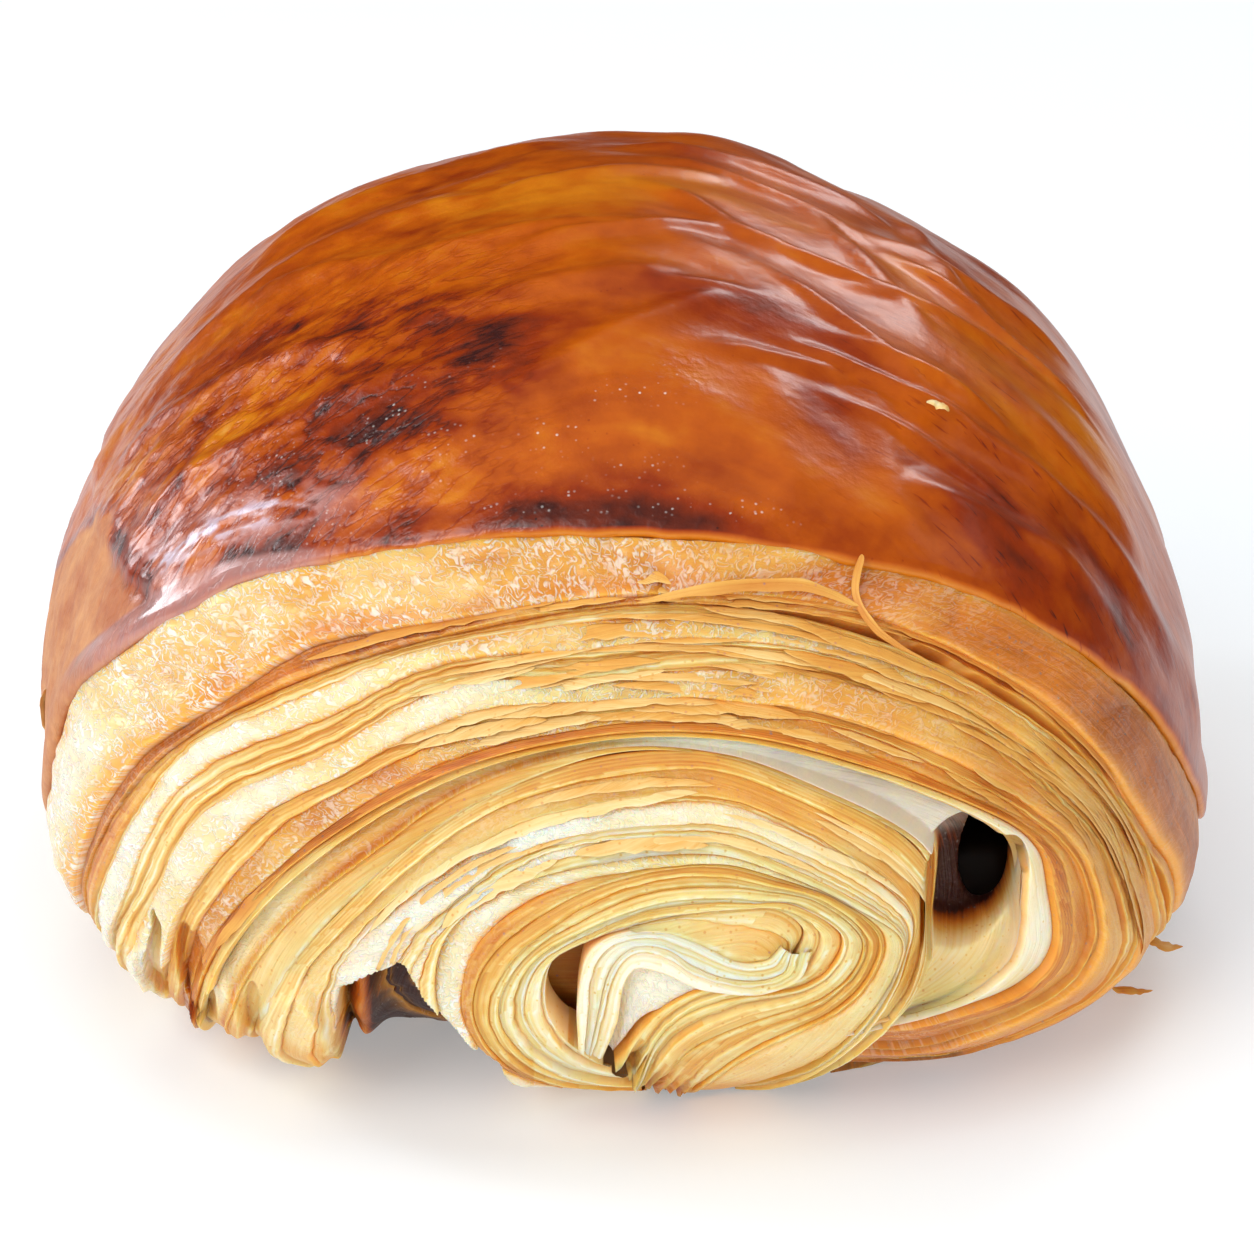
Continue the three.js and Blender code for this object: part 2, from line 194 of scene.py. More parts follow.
class LoafColours(bpy.types.PropertyGroup):
    """Colours of the loaf, as linear light."""
    cream: colour_property("Cream", "Innermost dough", (0.90, 0.84, 0.67))
    pale: colour_property("Pale", "Pale sheets", (0.86, 0.65, 0.28))
    golden: colour_property("Golden", "Golden sheets", (0.76, 0.39, 0.08))
    orange: colour_property("Orange", "Browned edges", (0.60, 0.18, 0.02))
    brown: colour_property("Brown", "Deep browned dough", (0.24, 0.045, 0.006))
    # The web colour also paints the white glints of blisters and the highlights of the curls.
    web: colour_property("Web", "Fine web of the open crumb", (0.93, 0.91, 0.85))
    crust_light: colour_property("Crust, light", "Thin spots of the crust", (0.62, 0.19, 0.005))
    crust_amber: colour_property("Crust, amber", "Most of the crust", (0.47, 0.088, 0.0012))
    crust_red: colour_property("Crust, red", "Well baked crust", (0.26, 0.028, 0.0020))
    crust_skin: colour_property("Crust, skin", "Side strip without egg wash", (0.46, 0.15, 0.06))
    crust_pale: colour_property("Crust, pale skin", "Paler spots of the strip", (0.68, 0.32, 0.13))
    # The film's colour is partly its own, partly painted sheen.
    crust_film_and_sheen: colour_property("Crust, film", "Shiny strip along the lip", (0.50, 0.24, 0.21))
    # Painted highlight: the gleam colour.
    crust_gleam: colour_property("Crust, gleam", "Wet gleam above the strip", (0.64, 0.55, 0.66))
    crust_burnt: colour_property("Crust, burnt", "Darkest patches", (0.045, 0.011, 0.009))
    # Near black: the chocolate's own dark colour with the shade of its hollow painted in.
    chocolate: colour_property("Chocolate", "Dark chocolate", (0.0025, 0.0012, 0.0008))
    # Painted light: a warm glow painted into the colour of the crevices.
    glow: colour_property("Glow", "Light through thin sheets in the crevices", (1.0, 0.45, 0.07))
    veil: colour_property("Veil", "Thin half-clear sheet", (0.72, 0.68, 0.60))
    floor: colour_property("Floor", "Floor and backdrop", (0.69, 0.73, 0.76))


# Noise

def lattice(ix, iy, iz, seed):
    """A fixed random number from 0 to 1 for each corner of a lattice, from a whole-number hash."""
    a = ix.astype(np.int64).astype(np.uint32) * np.uint32(374761393)
    b = iy.astype(np.int64).astype(np.uint32) * np.uint32(668265263)
    c = iz.astype(np.int64).astype(np.uint32) * np.uint32(2246822519)
    h = (a ^ b ^ c) + np.uint32((seed * 40503 + 12345) & 0xFFFFFFFF)
    h = (h ^ (h >> np.uint32(13))) * np.uint32(1274126177)
    h = h ^ (h >> np.uint32(16))
    return h.astype(np.float64) / 4294967295.0


def noise(x, y, z, seed):
    """Smooth noise from -1 to 1: lattice values blended by a cubic step along each axis."""
    x, y, z = np.broadcast_arrays(x, y, z)
    x0, y0, z0 = np.floor(x), np.floor(y), np.floor(z)
    fx, fy, fz = x - x0, y - y0, z - z0
    fx, fy, fz = (f * f * (3 - 2 * f) for f in (fx, fy, fz))
    total = np.zeros(x.shape)
    for dx in (0, 1):
        wx = fx if dx else 1 - fx
        for dy in (0, 1):
            wy = fy if dy else 1 - fy
            for dz in (0, 1):
                wz = fz if dz else 1 - fz
                total += wx * wy * wz * lattice(x0 + dx, y0 + dy, z0 + dz, seed)
    return 2 * total - 1


def fbm(x, y, z, octaves, seed):
    """Noise summed over octaves, each twice as fine and half as strong."""
    total = 0.0
    for i in range(octaves):
        total = total + noise(x * 2 ** i, y * 2 ** i, z * 2 ** i, seed + i) / 2 ** i
    return total


def smoothstep(low, high, value):
    """A smooth step from 0 at low to 1 at high."""
    t = np.clip((value - low) / (high - low), 0, 1)
    return t * t * (3 - 2 * t)


# The loaf's form

# Squareness of the rounding below the axis, and of the ends near the table and near the roof.
UNDER_POWER = 2.6
FOOT_POWER = 2.6
ROOF_POWER = 2.3
# Step and limit of the slopes that give an end face its normal, and the least height over the table.
SLOPE_STEP = 0.4
SLOPE_LIMIT = 6
TABLE_GAP = 0.05
# How far the foot spreads at the right and at the left.
SPREAD_RIGHT = 3.0
SPREAD_LEFT = 0.9


class Loaf:
    """The rounded loaf in millimetres: half an ellipse over a squarer half, with rounded ends."""

    def __init__(self, sizes):
        self.half_width = sizes.width / MM / 2
        self.half_length = sizes.length / MM / 2
        self.axis = sizes.axis_height / MM
        self.roof = sizes.height / MM - self.axis
        self.under = sizes.under_reach / MM
        self.crust_rise = sizes.crust_rise / MM
        self.fold_height = sizes.fold_height / MM

    def radius(self, angle):
        """Distance from the axis to the skin in the middle section."""
        across = np.abs(np.cos(angle)) / self.half_width
        rise = np.sin(angle)
        up = np.hypot(across, rise / self.roof) ** -1
        down = (across ** UNDER_POWER + np.abs(rise / self.under) ** UNDER_POWER) ** (-1 / UNDER_POWER)
        return np.where(rise >= 0, up, down)

    def power(self, angle):
        """Squareness of the rounded end in a direction round the axis."""
        up = np.maximum(np.sin(angle), 0) ** 2
        return FOOT_POWER + (ROOF_POWER - FOOT_POWER) * up

    def reach(self, x, z):
        """How far the rounded end reaches along Y at a point of a section."""
        angle = np.arctan2(z - self.axis, x)
        share = np.minimum(np.hypot(x, z - self.axis) / self.radius(angle), 1)
        power = self.power(angle)
        return self.half_length * (1 - share ** power) ** (1 / power)

    def on_end(self, x, z, side, height):
        """Points of an end face, kept inside the section and raised along the normal."""
        angle = np.arctan2(z - self.axis, x)
        beyond = np.maximum(np.hypot(x, z - self.axis) / self.radius(angle), 1)
        x = x / beyond
        z = self.axis + (z - self.axis) / beyond
        slope_x = (self.reach(x + SLOPE_STEP, z) - self.reach(x - SLOPE_STEP, z)) / (2 * SLOPE_STEP)
        slope_z = (self.reach(x, z + SLOPE_STEP) - self.reach(x, z - SLOPE_STEP)) / (2 * SLOPE_STEP)
        slope_x = np.clip(slope_x, -SLOPE_LIMIT, SLOPE_LIMIT)
        slope_z = np.clip(slope_z, -SLOPE_LIMIT, SLOPE_LIMIT)
        size = np.sqrt(slope_x ** 2 + slope_z ** 2 + 1)
        px = x - slope_x / size * height
        py = side * (self.reach(x, z) + height / size)
        pz = np.maximum(z - slope_z / size * height, TABLE_GAP)
        return np.stack([px, py, pz], -1)

    def flare(self, points):
        """The foot spreads a little over the table, more at the right than at the left."""
        x, z = points[..., 0], points[..., 2]
        spread = np.where(x > 0, SPREAD_RIGHT, SPREAD_LEFT) * smoothstep(14, 33, np.abs(x))
        spread = spread * (1 - smoothstep(1, 19, z))
        moved = points.copy()
        moved[..., 0] = x + np.sign(x) * spread
        return moved


def spline(points, count):
    """A smooth line through the points: Catmull-Rom, evenly spaced by point number."""
    p = np.asarray(points, float)
    p = np.vstack([2 * p[0] - p[1], p, 2 * p[-1] - p[-2]])
    t = np.linspace(0, len(points) - 1, count)
    i = np.minimum(t.astype(int), len(points) - 2)
    f = (t - i)[:, None]
    a, b, c, d = p[i], p[i + 1], p[i + 2], p[i + 3]
    square = (2 * a - 5 * b + 4 * c - d) * f ** 2
    cube = (3 * b - a - 3 * c + d) * f ** 3
    return 0.5 * (2 * b + (c - a) * f + square + cube)


GUIDE_STEPS = 2000


def run_along(line):
    """Distance from a line's start at each of its points."""
    return np.concatenate([[0], np.cumsum(np.linalg.norm(np.diff(line, axis=0), axis=1))])


def even_pair(outer, inner, count):
    """Two guide lines sampled at matching places, evenly along the line midway between them."""
    a, b = spline(outer, GUIDE_STEPS), spline(inner, GUIDE_STEPS)
    run = run_along((a + b) / 2)
    steps = np.arange(GUIDE_STEPS)
    at = np.interp(np.linspace(0, run[-1], count), run, steps)
    pick = [np.stack([np.interp(at, steps, line[:, k]) for k in (0, 1)], -1) for line in (a, b)]
    return pick[0], pick[1], np.linspace(0, run[-1], count)


# Openings of an end face: x, z, half-width, half-height, lean, and depth, which is minus for a lobe.
OPENINGS = [
    (25.7, 18.6, 1.9, 3.7, 0.10, 13.0),
    (23.5, 18.5, 3.6, 4.7, 0.0, 5.0),
    (-32.2, 9.6, 0.6, 5.2, 0.0, 2.4),
    (-29.4, 10.0, 1.2, 4.6, -0.16, 1.8),
    (-25.4, 8.6, 0.6, 2.6, 0.0, 1.0),
    (-34.4, 7.0, 1.4, 5.0, 0.0, -1.3),
    (-28.0, 6.5, 2.0, 5.0, 0.0, -1.5),
    (-22.4, 7.0, 2.4, 6.0, 0.0, -1.8),
]
# The gap under the roll's left side: levels, its left and right edges there, and the lobe inside it.
GAP_LEVELS = [0.0, 7.0, 10.3, 12.6, 14.0, 15.2]
GAP_LEFT = [-19.6, -19.5, -19.4, -19.0, -17.2, -15.0]
GAP_RIGHT = [-7.0, -8.6, -11.7, -13.6, -14.4, -14.9]
GAP_DEPTH = 9.5
GAP_SOFT = 0.3
LOBE_X = -18.2
LOBE_WIDE = 1.2
LOBE_RISE = 0.45
# Where the coil's jacket ends at the right, which stops the hollow.
JACKET_SIDE = 20.7
# How far the feet curl under, and below which level.
CURL_DEPTH = 3.2
CURL_LEVEL = 4.5


def face_depth(x, z):
    """How far the face is sunk into the loaf: ovals for its openings, a tent for the gap, and curled feet."""
    total = CURL_DEPTH * np.clip(1 - z / CURL_LEVEL, 0, 1) ** 2 * (1 - smoothstep(-2, 6, x))
    for place, level, wide, tall, lean, depth in OPENINGS:
        d = np.hypot((x - place - lean * (z - level)) / wide, (z - level) / tall)
        stops = smoothstep(JACKET_SIDE - 0.5, JACKET_SIDE + 0.3, x) if place > JACKET_SIDE else 1.0
        total += depth * (1 - smoothstep(0.78, 1.12, d)) * stops
    left = smoothstep(-GAP_SOFT, GAP_SOFT, x - np.interp(z, GAP_LEVELS, GAP_LEFT))
    right = smoothstep(-GAP_SOFT, GAP_SOFT, np.interp(z, GAP_LEVELS, GAP_RIGHT) - x)
    inside = left * right * (1 - smoothstep(GAP_LEVELS[-1] - 0.6, GAP_LEVELS[-1], z))
    lobe = np.exp(-((x - LOBE_X) / LOBE_WIDE) ** 2)
    return total + GAP_DEPTH * inside * (1 - LOBE_RISE * lobe)


# Sheets below this width are thin ones.
THIN = 1.0
# Drift of the widths of thin and of broad layers: reach along the ribbon, then slow, quick and ragged shares.
THIN_DRIFT = (10, 0.80, 0.10, 0.08)
BROAD_DRIFT = (12, 0.42, 0.05, 0.02)
LEAST_SHARE = 0.10


def layer_shares(layers, run, s, seed):
    """Edges of the layers as shares of the ribbon's width: widths drift, and thin sheets can pinch out."""
    shares = []
    for i, layer in enumerate(layers):
        widths = np.atleast_1d(layer[0])
        width = np.interp(s, np.linspace(0.1, 0.9, len(widths)), widths)
        reach, slow, quick, ragged = THIN_DRIFT if widths.max() < THIN else BROAD_DRIFT
        share = 1 + slow * noise(run / reach, 7.3 * i, 0.0, seed + i)
        share = share + quick * noise(run / 3.1, 7.3 * i, 4.0, seed + 20 + i)
        share = share + ragged * noise(run / 0.6, 7.3 * i, 8.0, seed + 60 + i)
        shares.append(width * np.maximum(share, LEAST_SHARE))
    shares = np.array(shares)
    return np.vstack([0 * run, np.cumsum(shares, 0) / shares.sum(0)])


# Thickness of a ply, width of a layer's pale rim, which is a painted highlight, and tone of the toasted end of
# a ribbon.
PLY = 0.26
RIM_PLACE = 0.16
RIM_WIDTH = 0.10
TOASTED_TONE = 0.74
# Level that lies flush with the end face, and depth of the skirt that closes a ribbon's sides.
FLUSH = 1.2
SKIRT_DEPTH = 3.0
# Ribbons of the two ends stop this far from the loaf's middle.
MEETING_GAP = 0.03


def strip(layer, number, t, edges, crevices, run, toasted, seed):
    """One layer of a ribbon, for places t across it: its share, height, rounding, shade, tone and web.

    Its top is rounded, one minus the place to a power, over the crevices at its sides. It tilts so that its
    inner edge overlaps the next layer. Thin plies step its top, and its inner rim is painted paler as a
    highlight.
    """
    width, rise, square, web, *tones = layer
    broad = np.max(width)
    s = np.linspace(0, 1, len(run))
    f = edges[number][:, None] + (edges[number + 1] - edges[number])[:, None] * t
    nose = (1 - np.abs(2 * t - 1) ** square) ** (1 / square)
    wave = noise(run / 14, 3.1 * number, 5.0, seed + 40 + number) * 0.22
    ripple = noise(run / 2.3, 3.1 * number, 9.0, seed + 80 + number) * 0.04
    crevice = crevices[number][:, None] * (1 - t) + crevices[number + 1][:, None] * t
    crevice = crevice * (1 + 0.9 * web * min(broad, 1.5))
    level = (rise - FLUSH + wave + ripple)[:, None] + 0.30 * min(broad, 1.2) * (t - 0.5)
    shift = 1.6 * noise(run / 15, 2.2 * number, 3.0, seed + 140 + number)
    ply = np.mod(broad * t / PLY + shift[:, None], 1.0)
    leafy = (1 - web) * (broad < 1.5)
    height = level - crevice * (1 - nose) + 0.09 * leafy * (ply - 0.5)
    tone = np.interp(s, np.linspace(0.1, 0.9, len(tones)), tones) + 0.09 * (1 - web)
    tone = tone + 0.08 * noise(run / 6, 2.7 * number, 1.0, seed + 120 + number)
    tone = tone + (TOASTED_TONE - tone) * toasted
    # painted highlight: the inner rim of each layer is painted paler
    painted_rim_highlight = np.exp(-((broad * (1 - t) - RIM_PLACE) / RIM_WIDTH) ** 2)
    painted_rim_highlight = painted_rim_highlight * (0.8 + 0.5 * noise(run / 0.5, 2.9 * number, 6.0, seed + 170 + number))[:, None]
    tone = tone[:, None] - 0.17 * (1 - 0.5 * web) * painted_rim_highlight - 0.15 * leafy * (ply - 0.5)
    if broad > 4:
        inner_edge = smoothstep(0.60, 1.0, t)
        tone = tone + np.interp(s, [0.1, 0.45, 0.6], [0.30, 0.16, 0.0])[:, None] * inner_edge
    # shade of the crevices, which the dough material paints as shade and as a warm glow
    shade = 1 - (1 - nose) * np.clip(crevice / 0.9, 0.1, 1)
    return f, height, nose + 0 * f, shade, tone + 0 * f, web + 0 * f


def ribbon_strips(layers, run, toast, veil, fine, seed):
    """The strips of a ribbon side by side, with a groove in the second one where it is a veil."""
    s = np.linspace(0, 1, len(run))
    edges = layer_shares(layers, run, s, seed)
    bound = np.arange(len(layers) + 1)[:, None]
    crevices = 0.13 + 0.11 * noise(run[None] / 7, 5.7 * bound, 0 * bound, seed + 30)
    crevices = crevices + 0.4 * np.maximum(noise(run[None] / 14, 8.1 * bound, 0 * bound, seed + 33) - 0.35, 0)
    toasted = smoothstep(toast, toast + 0.07, s)
    crevices = crevices * (1 - 0.8 * toasted)
    strips = []
    for i, layer in enumerate(layers):
        broad = np.max(layer[0])
        count = int((9 if broad < THIN else 8 + 7 * broad) * fine)
        t = 0.5 - 0.5 * np.cos(np.pi * np.linspace(0, 1, count))
        if i < len(layers) - 1:
            t = t[:-1]
        made = strip(layer, i, t, edges, crevices, run, toasted, seed)
        groove = (veil and i == 1) * smoothstep(0, 0.10, t) * (1 - smoothstep(0.90, 1, t))
        strips.append((*made, groove + 0 * made[0]))
    joined = [np.concatenate(columns, 1) for columns in zip(*strips)]
    return joined, s, toasted


def painted_hollow_shade(x, sunk):
    """Painted shade in the openings: how much darker the mouth at the right, the gap at the left, and the
    slits are painted.
    """
    mouth = 0.85 * smoothstep(3.4, 8.2, sunk) + 0.4 * smoothstep(8.4, 12, sunk)
    slits = 0.10 * smoothstep(0.5, 1.8, sunk)
    gap = 0.75 * smoothstep(3.0, 7, sunk) * smoothstep(-21, -19, x)
    return np.where(x > 15, mouth, slits) + np.where(x < -6, gap, 0)


def ribbon(loaf, outer, inner, layers, rows, side, seed, lift=0.0, veil=False, fine=1.0, sway=0.08, toast=1.1,
           puff=0.0, frayed=False):
    """The layered dough between two guide lines of an end face.

    Strips of dough fill the ribbon from line to line. Webs are lumpy by noise and the crown billows, with
    their dips painted darker as shade. The openings sink into the loaf, with painted shade in them, the tips
    at the table brown, and a skirt at both sides reaches into the loaf.
    """
    a, b, run = even_pair(outer, inner, rows)
    strips, s, toasted = ribbon_strips(layers, run, toast, veil, fine, seed)
    f, height, nose, shade, tone, web, groove = strips
    web = web * np.interp(s, [0.2, 0.46, 0.66], [1.0, 0.65, 0.08])[:, None]
    web = web + (0.2 - web) * toasted[:, None]
    inside = 4 * f * (1 - f)
    f = f + sway * inside * noise(run[:, None] / 9, 2.5 * f, 0 * f, seed + 160)
    x = a[:, :1] + (b[:, :1] - a[:, :1]) * f
    z = np.maximum(a[:, 1:] + (b[:, 1:] - a[:, 1:]) * f, 0.1)
    across = np.linalg.norm(b - a, axis=1)[:, None] * f
    u = run[:, None] + 0 * f
    lumps = fbm(u / 3.4, across / 3.0, 0 * u, 4, seed + 5)
    height = height + lift + web * nose * 0.42 * lumps
    height = height + 0.04 * noise(u / 0.8, across / 0.5, 0 * u, seed + 9)
    height = height + 0.10 * (1 - web) * nose * fbm(u / 6, across / 1.8, 0 * u, 2, seed + 11)
    billow = np.abs(noise(u / 4.6, across / 3.6, 0 * u, seed + 13)) ** 0.7
    crown = puff * np.exp(-((s - 0.52) / 0.20) ** 2)[:, None]
    height = height + crown * nose * (1.5 * billow - 0.6)
    # painted shade: the dips between the webs' lumps and in the billowing crown are painted darker
    tone = tone - web * 0.09 * lumps + 0.16 * crown * (0.55 - billow)
    sunk = face_depth(x, z) + groove * (0.8 + 2.2 * smoothstep(5, 19, x) * smoothstep(9, 14, z))
    sunk = sunk + 2.5 * smoothstep(toast + 0.05, 1.0 + max(toast - 0.9, 0), s)[:, None]
    film = groove * smoothstep(5, 11, x) * smoothstep(20, 22, z)
    tip = np.maximum(z - np.where(x < -6, 5.5, 2.5), 0) / np.where(x < -6, 2.4, 1.8)
    tip = np.exp(-tip ** 2)
    # painted shade of the openings is added to the tone
    tone = tone + 0.16 * tip + painted_hollow_shade(x, sunk)
    web = web * (1 - smoothstep(0.6, 2.5, sunk) * (x < 15)) * (1 - 0.7 * tip)
    if frayed:
        end = smoothstep(0.93, 1.0, s)[:, None]
        sunk = sunk + end * 2.4 * noise(5 * f * len(layers), 0 * f, 0 * f + seed, 17)
        tone = tone + 0.12 * end
    skirt = np.clip(np.arange(-1, f.shape[1] + 1), 0, f.shape[1] - 1)
    fields = (x, z, height, shade, tone, web, u, across, sunk, film)
    x, z, height, shade, tone, web, u, across, sunk, film = (field[:, skirt].copy() for field in fields)
    height[:, [0, -1]] -= SKIRT_DEPTH
    points = loaf.on_end(x, z, side, height)
    points[..., 1] = side * np.maximum(side * points[..., 1] - sunk, MEETING_GAP)
    uv = np.stack([u, across], -1)
    # the crevices' shade goes to the material as the nose value, where it is painted
    return surface(loaf.flare(points), uv, side > 0, tone=tone, web=web, nose=shade, film=film)


# Meshes

UV_PER_MM = 0.1


def surface(points, uv, flip, tone=0.0, web=0.0, nose=1.0, film=0.0, wet=0.0):
    """A grid of points with what its material reads: baking tone, crumb web, rounding, film and wetness. On
    the dough the rounding holds the shade of the crevices, which the material paints; on the crust it holds
    the egg wash, and the film also holds the painted gleam.
    """
    values = {"tone": tone, "web": web, "nose": nose, "film": film, "wet": wet}
    return {"points": points, "uv": uv, "flip": flip, **values}


def grid_faces(rows, cols, start, flip):
    """Four-cornered faces of a grid of points numbered row by row from a start number."""
    index = start + np.arange(rows * cols).reshape(rows, cols)
    a, b, c, d = index[:-1, :-1], index[:-1, 1:], index[1:, 1:], index[1:, :-1]
    order = (a, d, c, b) if flip else (a, b, c, d)
    return np.stack([corner.ravel() for corner in order], -1)


def make_piece(name, grids, material, replaces="pastry"):
    """One mesh from grids of points, with their values as attributes and a UV map in centimetres."""
    faces, points, uvs = [], [], []
    values = {key: [] for key in ("tone", "web", "nose", "film", "wet")}
    start = 0
    for grid in grids:
        rows, cols = grid["points"].shape[:2]
        faces.append(grid_faces(rows, cols, start, grid["flip"]))
        points.append(grid["points"].reshape(-1, 3))
        uvs.append(grid["uv"].reshape(-1, 2))
        for key in values:
            values[key].append(np.broadcast_to(grid[key], (rows, cols)).ravel())
        start += rows * cols
    faces = np.concatenate(faces)
    points = np.concatenate(points) * MM
    uvs = np.concatenate(uvs)
    mesh = bpy.data.meshes.new(name)
    mesh.vertices.add(len(points))
    mesh.vertices.foreach_set("co", points.astype(np.float32).ravel())
    mesh.loops.add(faces.size)
    mesh.loops.foreach_set("vertex_index", faces.astype(np.int32).ravel())
    mesh.polygons.add(len(faces))
    mesh.polygons.foreach_set("loop_start", np.arange(0, faces.size, 4, dtype=np.int32))
    mesh.update(calc_edges=True)
    mesh.validate()
    mesh.polygons.foreach_set("use_smooth", np.ones(len(mesh.polygons), bool))
    for key, parts in values.items():
        layer = mesh.attributes.new(key, "FLOAT", "POINT")
        layer.data.foreach_set("value", np.concatenate(parts).astype(np.float32))
    corner = np.zeros(len(mesh.loops), np.int32)
    mesh.loops.foreach_get("vertex_index", corner)
    layer = mesh.uv_layers.new(name="layer")
    layer.data.foreach_set("uv", (uvs[corner] * UV_PER_MM).astype(np.float32).ravel())
    mesh.materials.append(material)
    mesh.update()
    piece = bpy.data.objects.new(name, mesh)
    bpy.context.collection.objects.link(piece)
    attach(piece, "root")
    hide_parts(replaces)


# Shader nodes

def add_node(tree, kind, values=None, **settings):
    """A node with its settings made, and its inputs either set or linked from another node's socket."""
    made = tree.nodes.new(kind)
    for key, value in settings.items():
        setattr(made, key, value)
    for key, value in (values or {}).items():
        socket = made.inputs[key]
        if isinstance(value, bpy.types.NodeSocket):
            tree.links.new(value, socket)
        elif socket.type == "RGBA":
            socket.default_value = (*value, 1.0)
        else:
            socket.default_value = value
    return made


def math_node(tree, operation, first, second=0.0, third=0.0):
    """A sum, product or other function of values."""
    return add_node(tree, "ShaderNodeMath", {0: first, 1: second, 2: third}, operation=operation).outputs[0]


def times(tree, first, second):
    """Product of two values."""
    return math_node(tree, "MULTIPLY", first, second)


def weighed(tree, value, weight, base):
    """A base value plus a weight times another value."""
    return math_node(tree, "MULTIPLY_ADD", value, weight, base)


def less(tree, first, second):
    """First value less the second."""
    return math_node(tree, "SUBTRACT", first, second)


def rise(tree, value, low, high):
    """A straight rise from 0 where a value is low to 1 where it is high, or a fall if low is the larger."""
    values = {"Value": value, "From Min": low, "From Max": high}
    return add_node(tree, "ShaderNodeMapRange", values).outputs[0]


def mix_colour(tree, factor, first, second):
    """Mix of two colours by a factor."""
    return add_node(tree, "ShaderNodeMix", {0: factor, 6: first, 7: second}, data_type="RGBA").outputs[2]


def ramp(tree, factor, stops):
    """A colour ramp from a list of place and colour."""
    made = add_node(tree, "ShaderNodeValToRGB", {0: factor})
    elements = made.color_ramp.elements
    while len(elements) > 1:
        elements.remove(elements[-1])
    elements[0].position = stops[0][0]
    elements[0].color = (*stops[0][1], 1.0)
    for place, colour in stops[1:]:
        element = elements.new(place)
        element.color = (*colour, 1.0)
    return made.outputs[0]


def attribute(tree, name):
    """A value that the mesh holds for each of its points."""
    return add_node(tree, "ShaderNodeAttribute", attribute_name=name).outputs["Fac"]


def object_place(tree):
    """Place on the piece, in metres."""
    return add_node(tree, "ShaderNodeTexCoord").outputs["Object"]


def noise_value(tree, vector, scale, detail, roughness=0.5, distortion=0.0, dimensions="3D"):
    """Noise from 0 to 1 at a place."""
    values = {"Vector": vector, "Scale": scale, "Detail": detail, "Roughness": roughness,
              "Distortion": distortion}
    return add_node(tree, "ShaderNodeTexNoise", values, noise_dimensions=dimensions).outputs["Fac"]


def use_group(tree, group):
    """Outputs of a node group placed in a material."""
    return add_node(tree, "ShaderNodeGroup", node_tree=group).outputs


def shared_group(name, labels, fill):
    """The named node group, made the first time with an output for each label that fill works out."""
    if name in bpy.data.node_groups:
        return bpy.data.node_groups[name]
    tree = bpy.data.node_groups.new(name, "ShaderNodeTree")
    for label in labels:
        tree.interface.new_socket(label, in_out="OUTPUT", socket_type="NodeSocketFloat")
    out = tree.nodes.new("NodeGroupOutput")
    for label, value in zip(labels, fill(tree)):
        tree.links.new(value, out.inputs[label])
    return tree


def curls(tree, uv, scale, offset, turns):
    """Short curly ridges: the sine of a bent noise, so that each rise of the noise gives a few lines."""
    values = {"Vector": uv, "Location": offset, "Scale": scale}
    spread = add_node(tree, "ShaderNodeMapping", values).outputs[0]
    value = noise_value(tree, spread, 1.0, 1.0, distortion=0.7, dimensions="2D")
    wave = math_node(tree, "SINE", times(tree, value, turns))
    return rise(tree, wave, 0.0, 0.9)


def crumb_web(tree):
    """Curls of the open crumb in two sizes that take turns, lines of thin plies, and broad patches."""
    uv = add_node(tree, "ShaderNodeUVMap", uv_map="layer").outputs[0]
    first = curls(tree, uv, (9.0, 11.0, 1.0), (0.0, 0.0, 0.0), 26.0)
    second = curls(tree, uv, (15.0, 13.0, 1.0), (7.0, 3.0, 0.0), 17.0)
    pick = rise(tree, noise_value(tree, uv, 19.0, 1.0, dimensions="2D"), 0.44, 0.54)
    other = times(tree, second, less(tree, 1.0, pick))
    lines = math_node(tree, "MAXIMUM", times(tree, first, pick), other)
    patch = rise(tree, noise_value(tree, uv, 4.0, 4.0, dimensions="2D"), 0.36, 0.60)
    drawn = add_node(tree, "ShaderNodeMapping", {"Vector": uv, "Scale": (1.3, 42.0, 1.0)}).outputs[0]
    plies = noise_value(tree, drawn, 1.0, 3.0, roughness=0.6, dimensions="2D")
    return lines, plies, patch


def blisters(tree):
    """Tiny blisters of the baked skin: small round cells, a few of them picked; where the materials whiten
    them, they are painted glints.
    """
    values = {"Vector": object_place(tree), "Scale": 2300.0}
    cell = add_node(tree, "ShaderNodeTexVoronoi", values, feature="F1")
    dot = rise(tree, cell.outputs["Distance"], 0.30, 0.12)
    drawn = add_node(tree, "ShaderNodeSeparateColor", {0: cell.outputs["Color"]}).outputs[0]
    return [times(tree, dot, rise(tree, drawn, 0.60, 0.95))]


def drawn_noise(tree, parts, long, fine):
    """Noise drawn out along the crust's streaks, whose level is Y plus a share of the way from the middle."""
    across, along, up = parts
    bend = math_node(tree, "SQRT", weighed(tree, across, across, (FAN_ROUND * MM) ** 2))
    level = weighed(tree, bend, FAN_SLOPE, along)
    values = {0: times(tree, across, long), 1: times(tree, level, fine), 2: times(tree, up, long)}
    vector = add_node(tree, "ShaderNodeCombineXYZ", values).outputs[0]
    return noise_value(tree, vector, 1.0, 3.0)


def streaks(tree):
    """Lines of the crust: fine fibres all over, wrinkles, and a few short cracks at the right."""
    parts = add_node(tree, "ShaderNodeSeparateXYZ", {0: object_place(tree)}).outputs
    fibres = drawn_noise(tree, parts, 120.0, 800.0)
    depth = math_node(tree, "ABSOLUTE", less(tree, drawn_noise(tree, parts, 330.0, 900.0), 0.5))
    wrinkles = rise(tree, depth, 0.06, 0.0)
    cracks = rise(tree, drawn_noise(tree, parts, 420.0, 3200.0), 0.63, 0.70)
    return fibres, wrinkles, times(tree, cracks, rise(tree, parts[0], 0.012, 0.026))


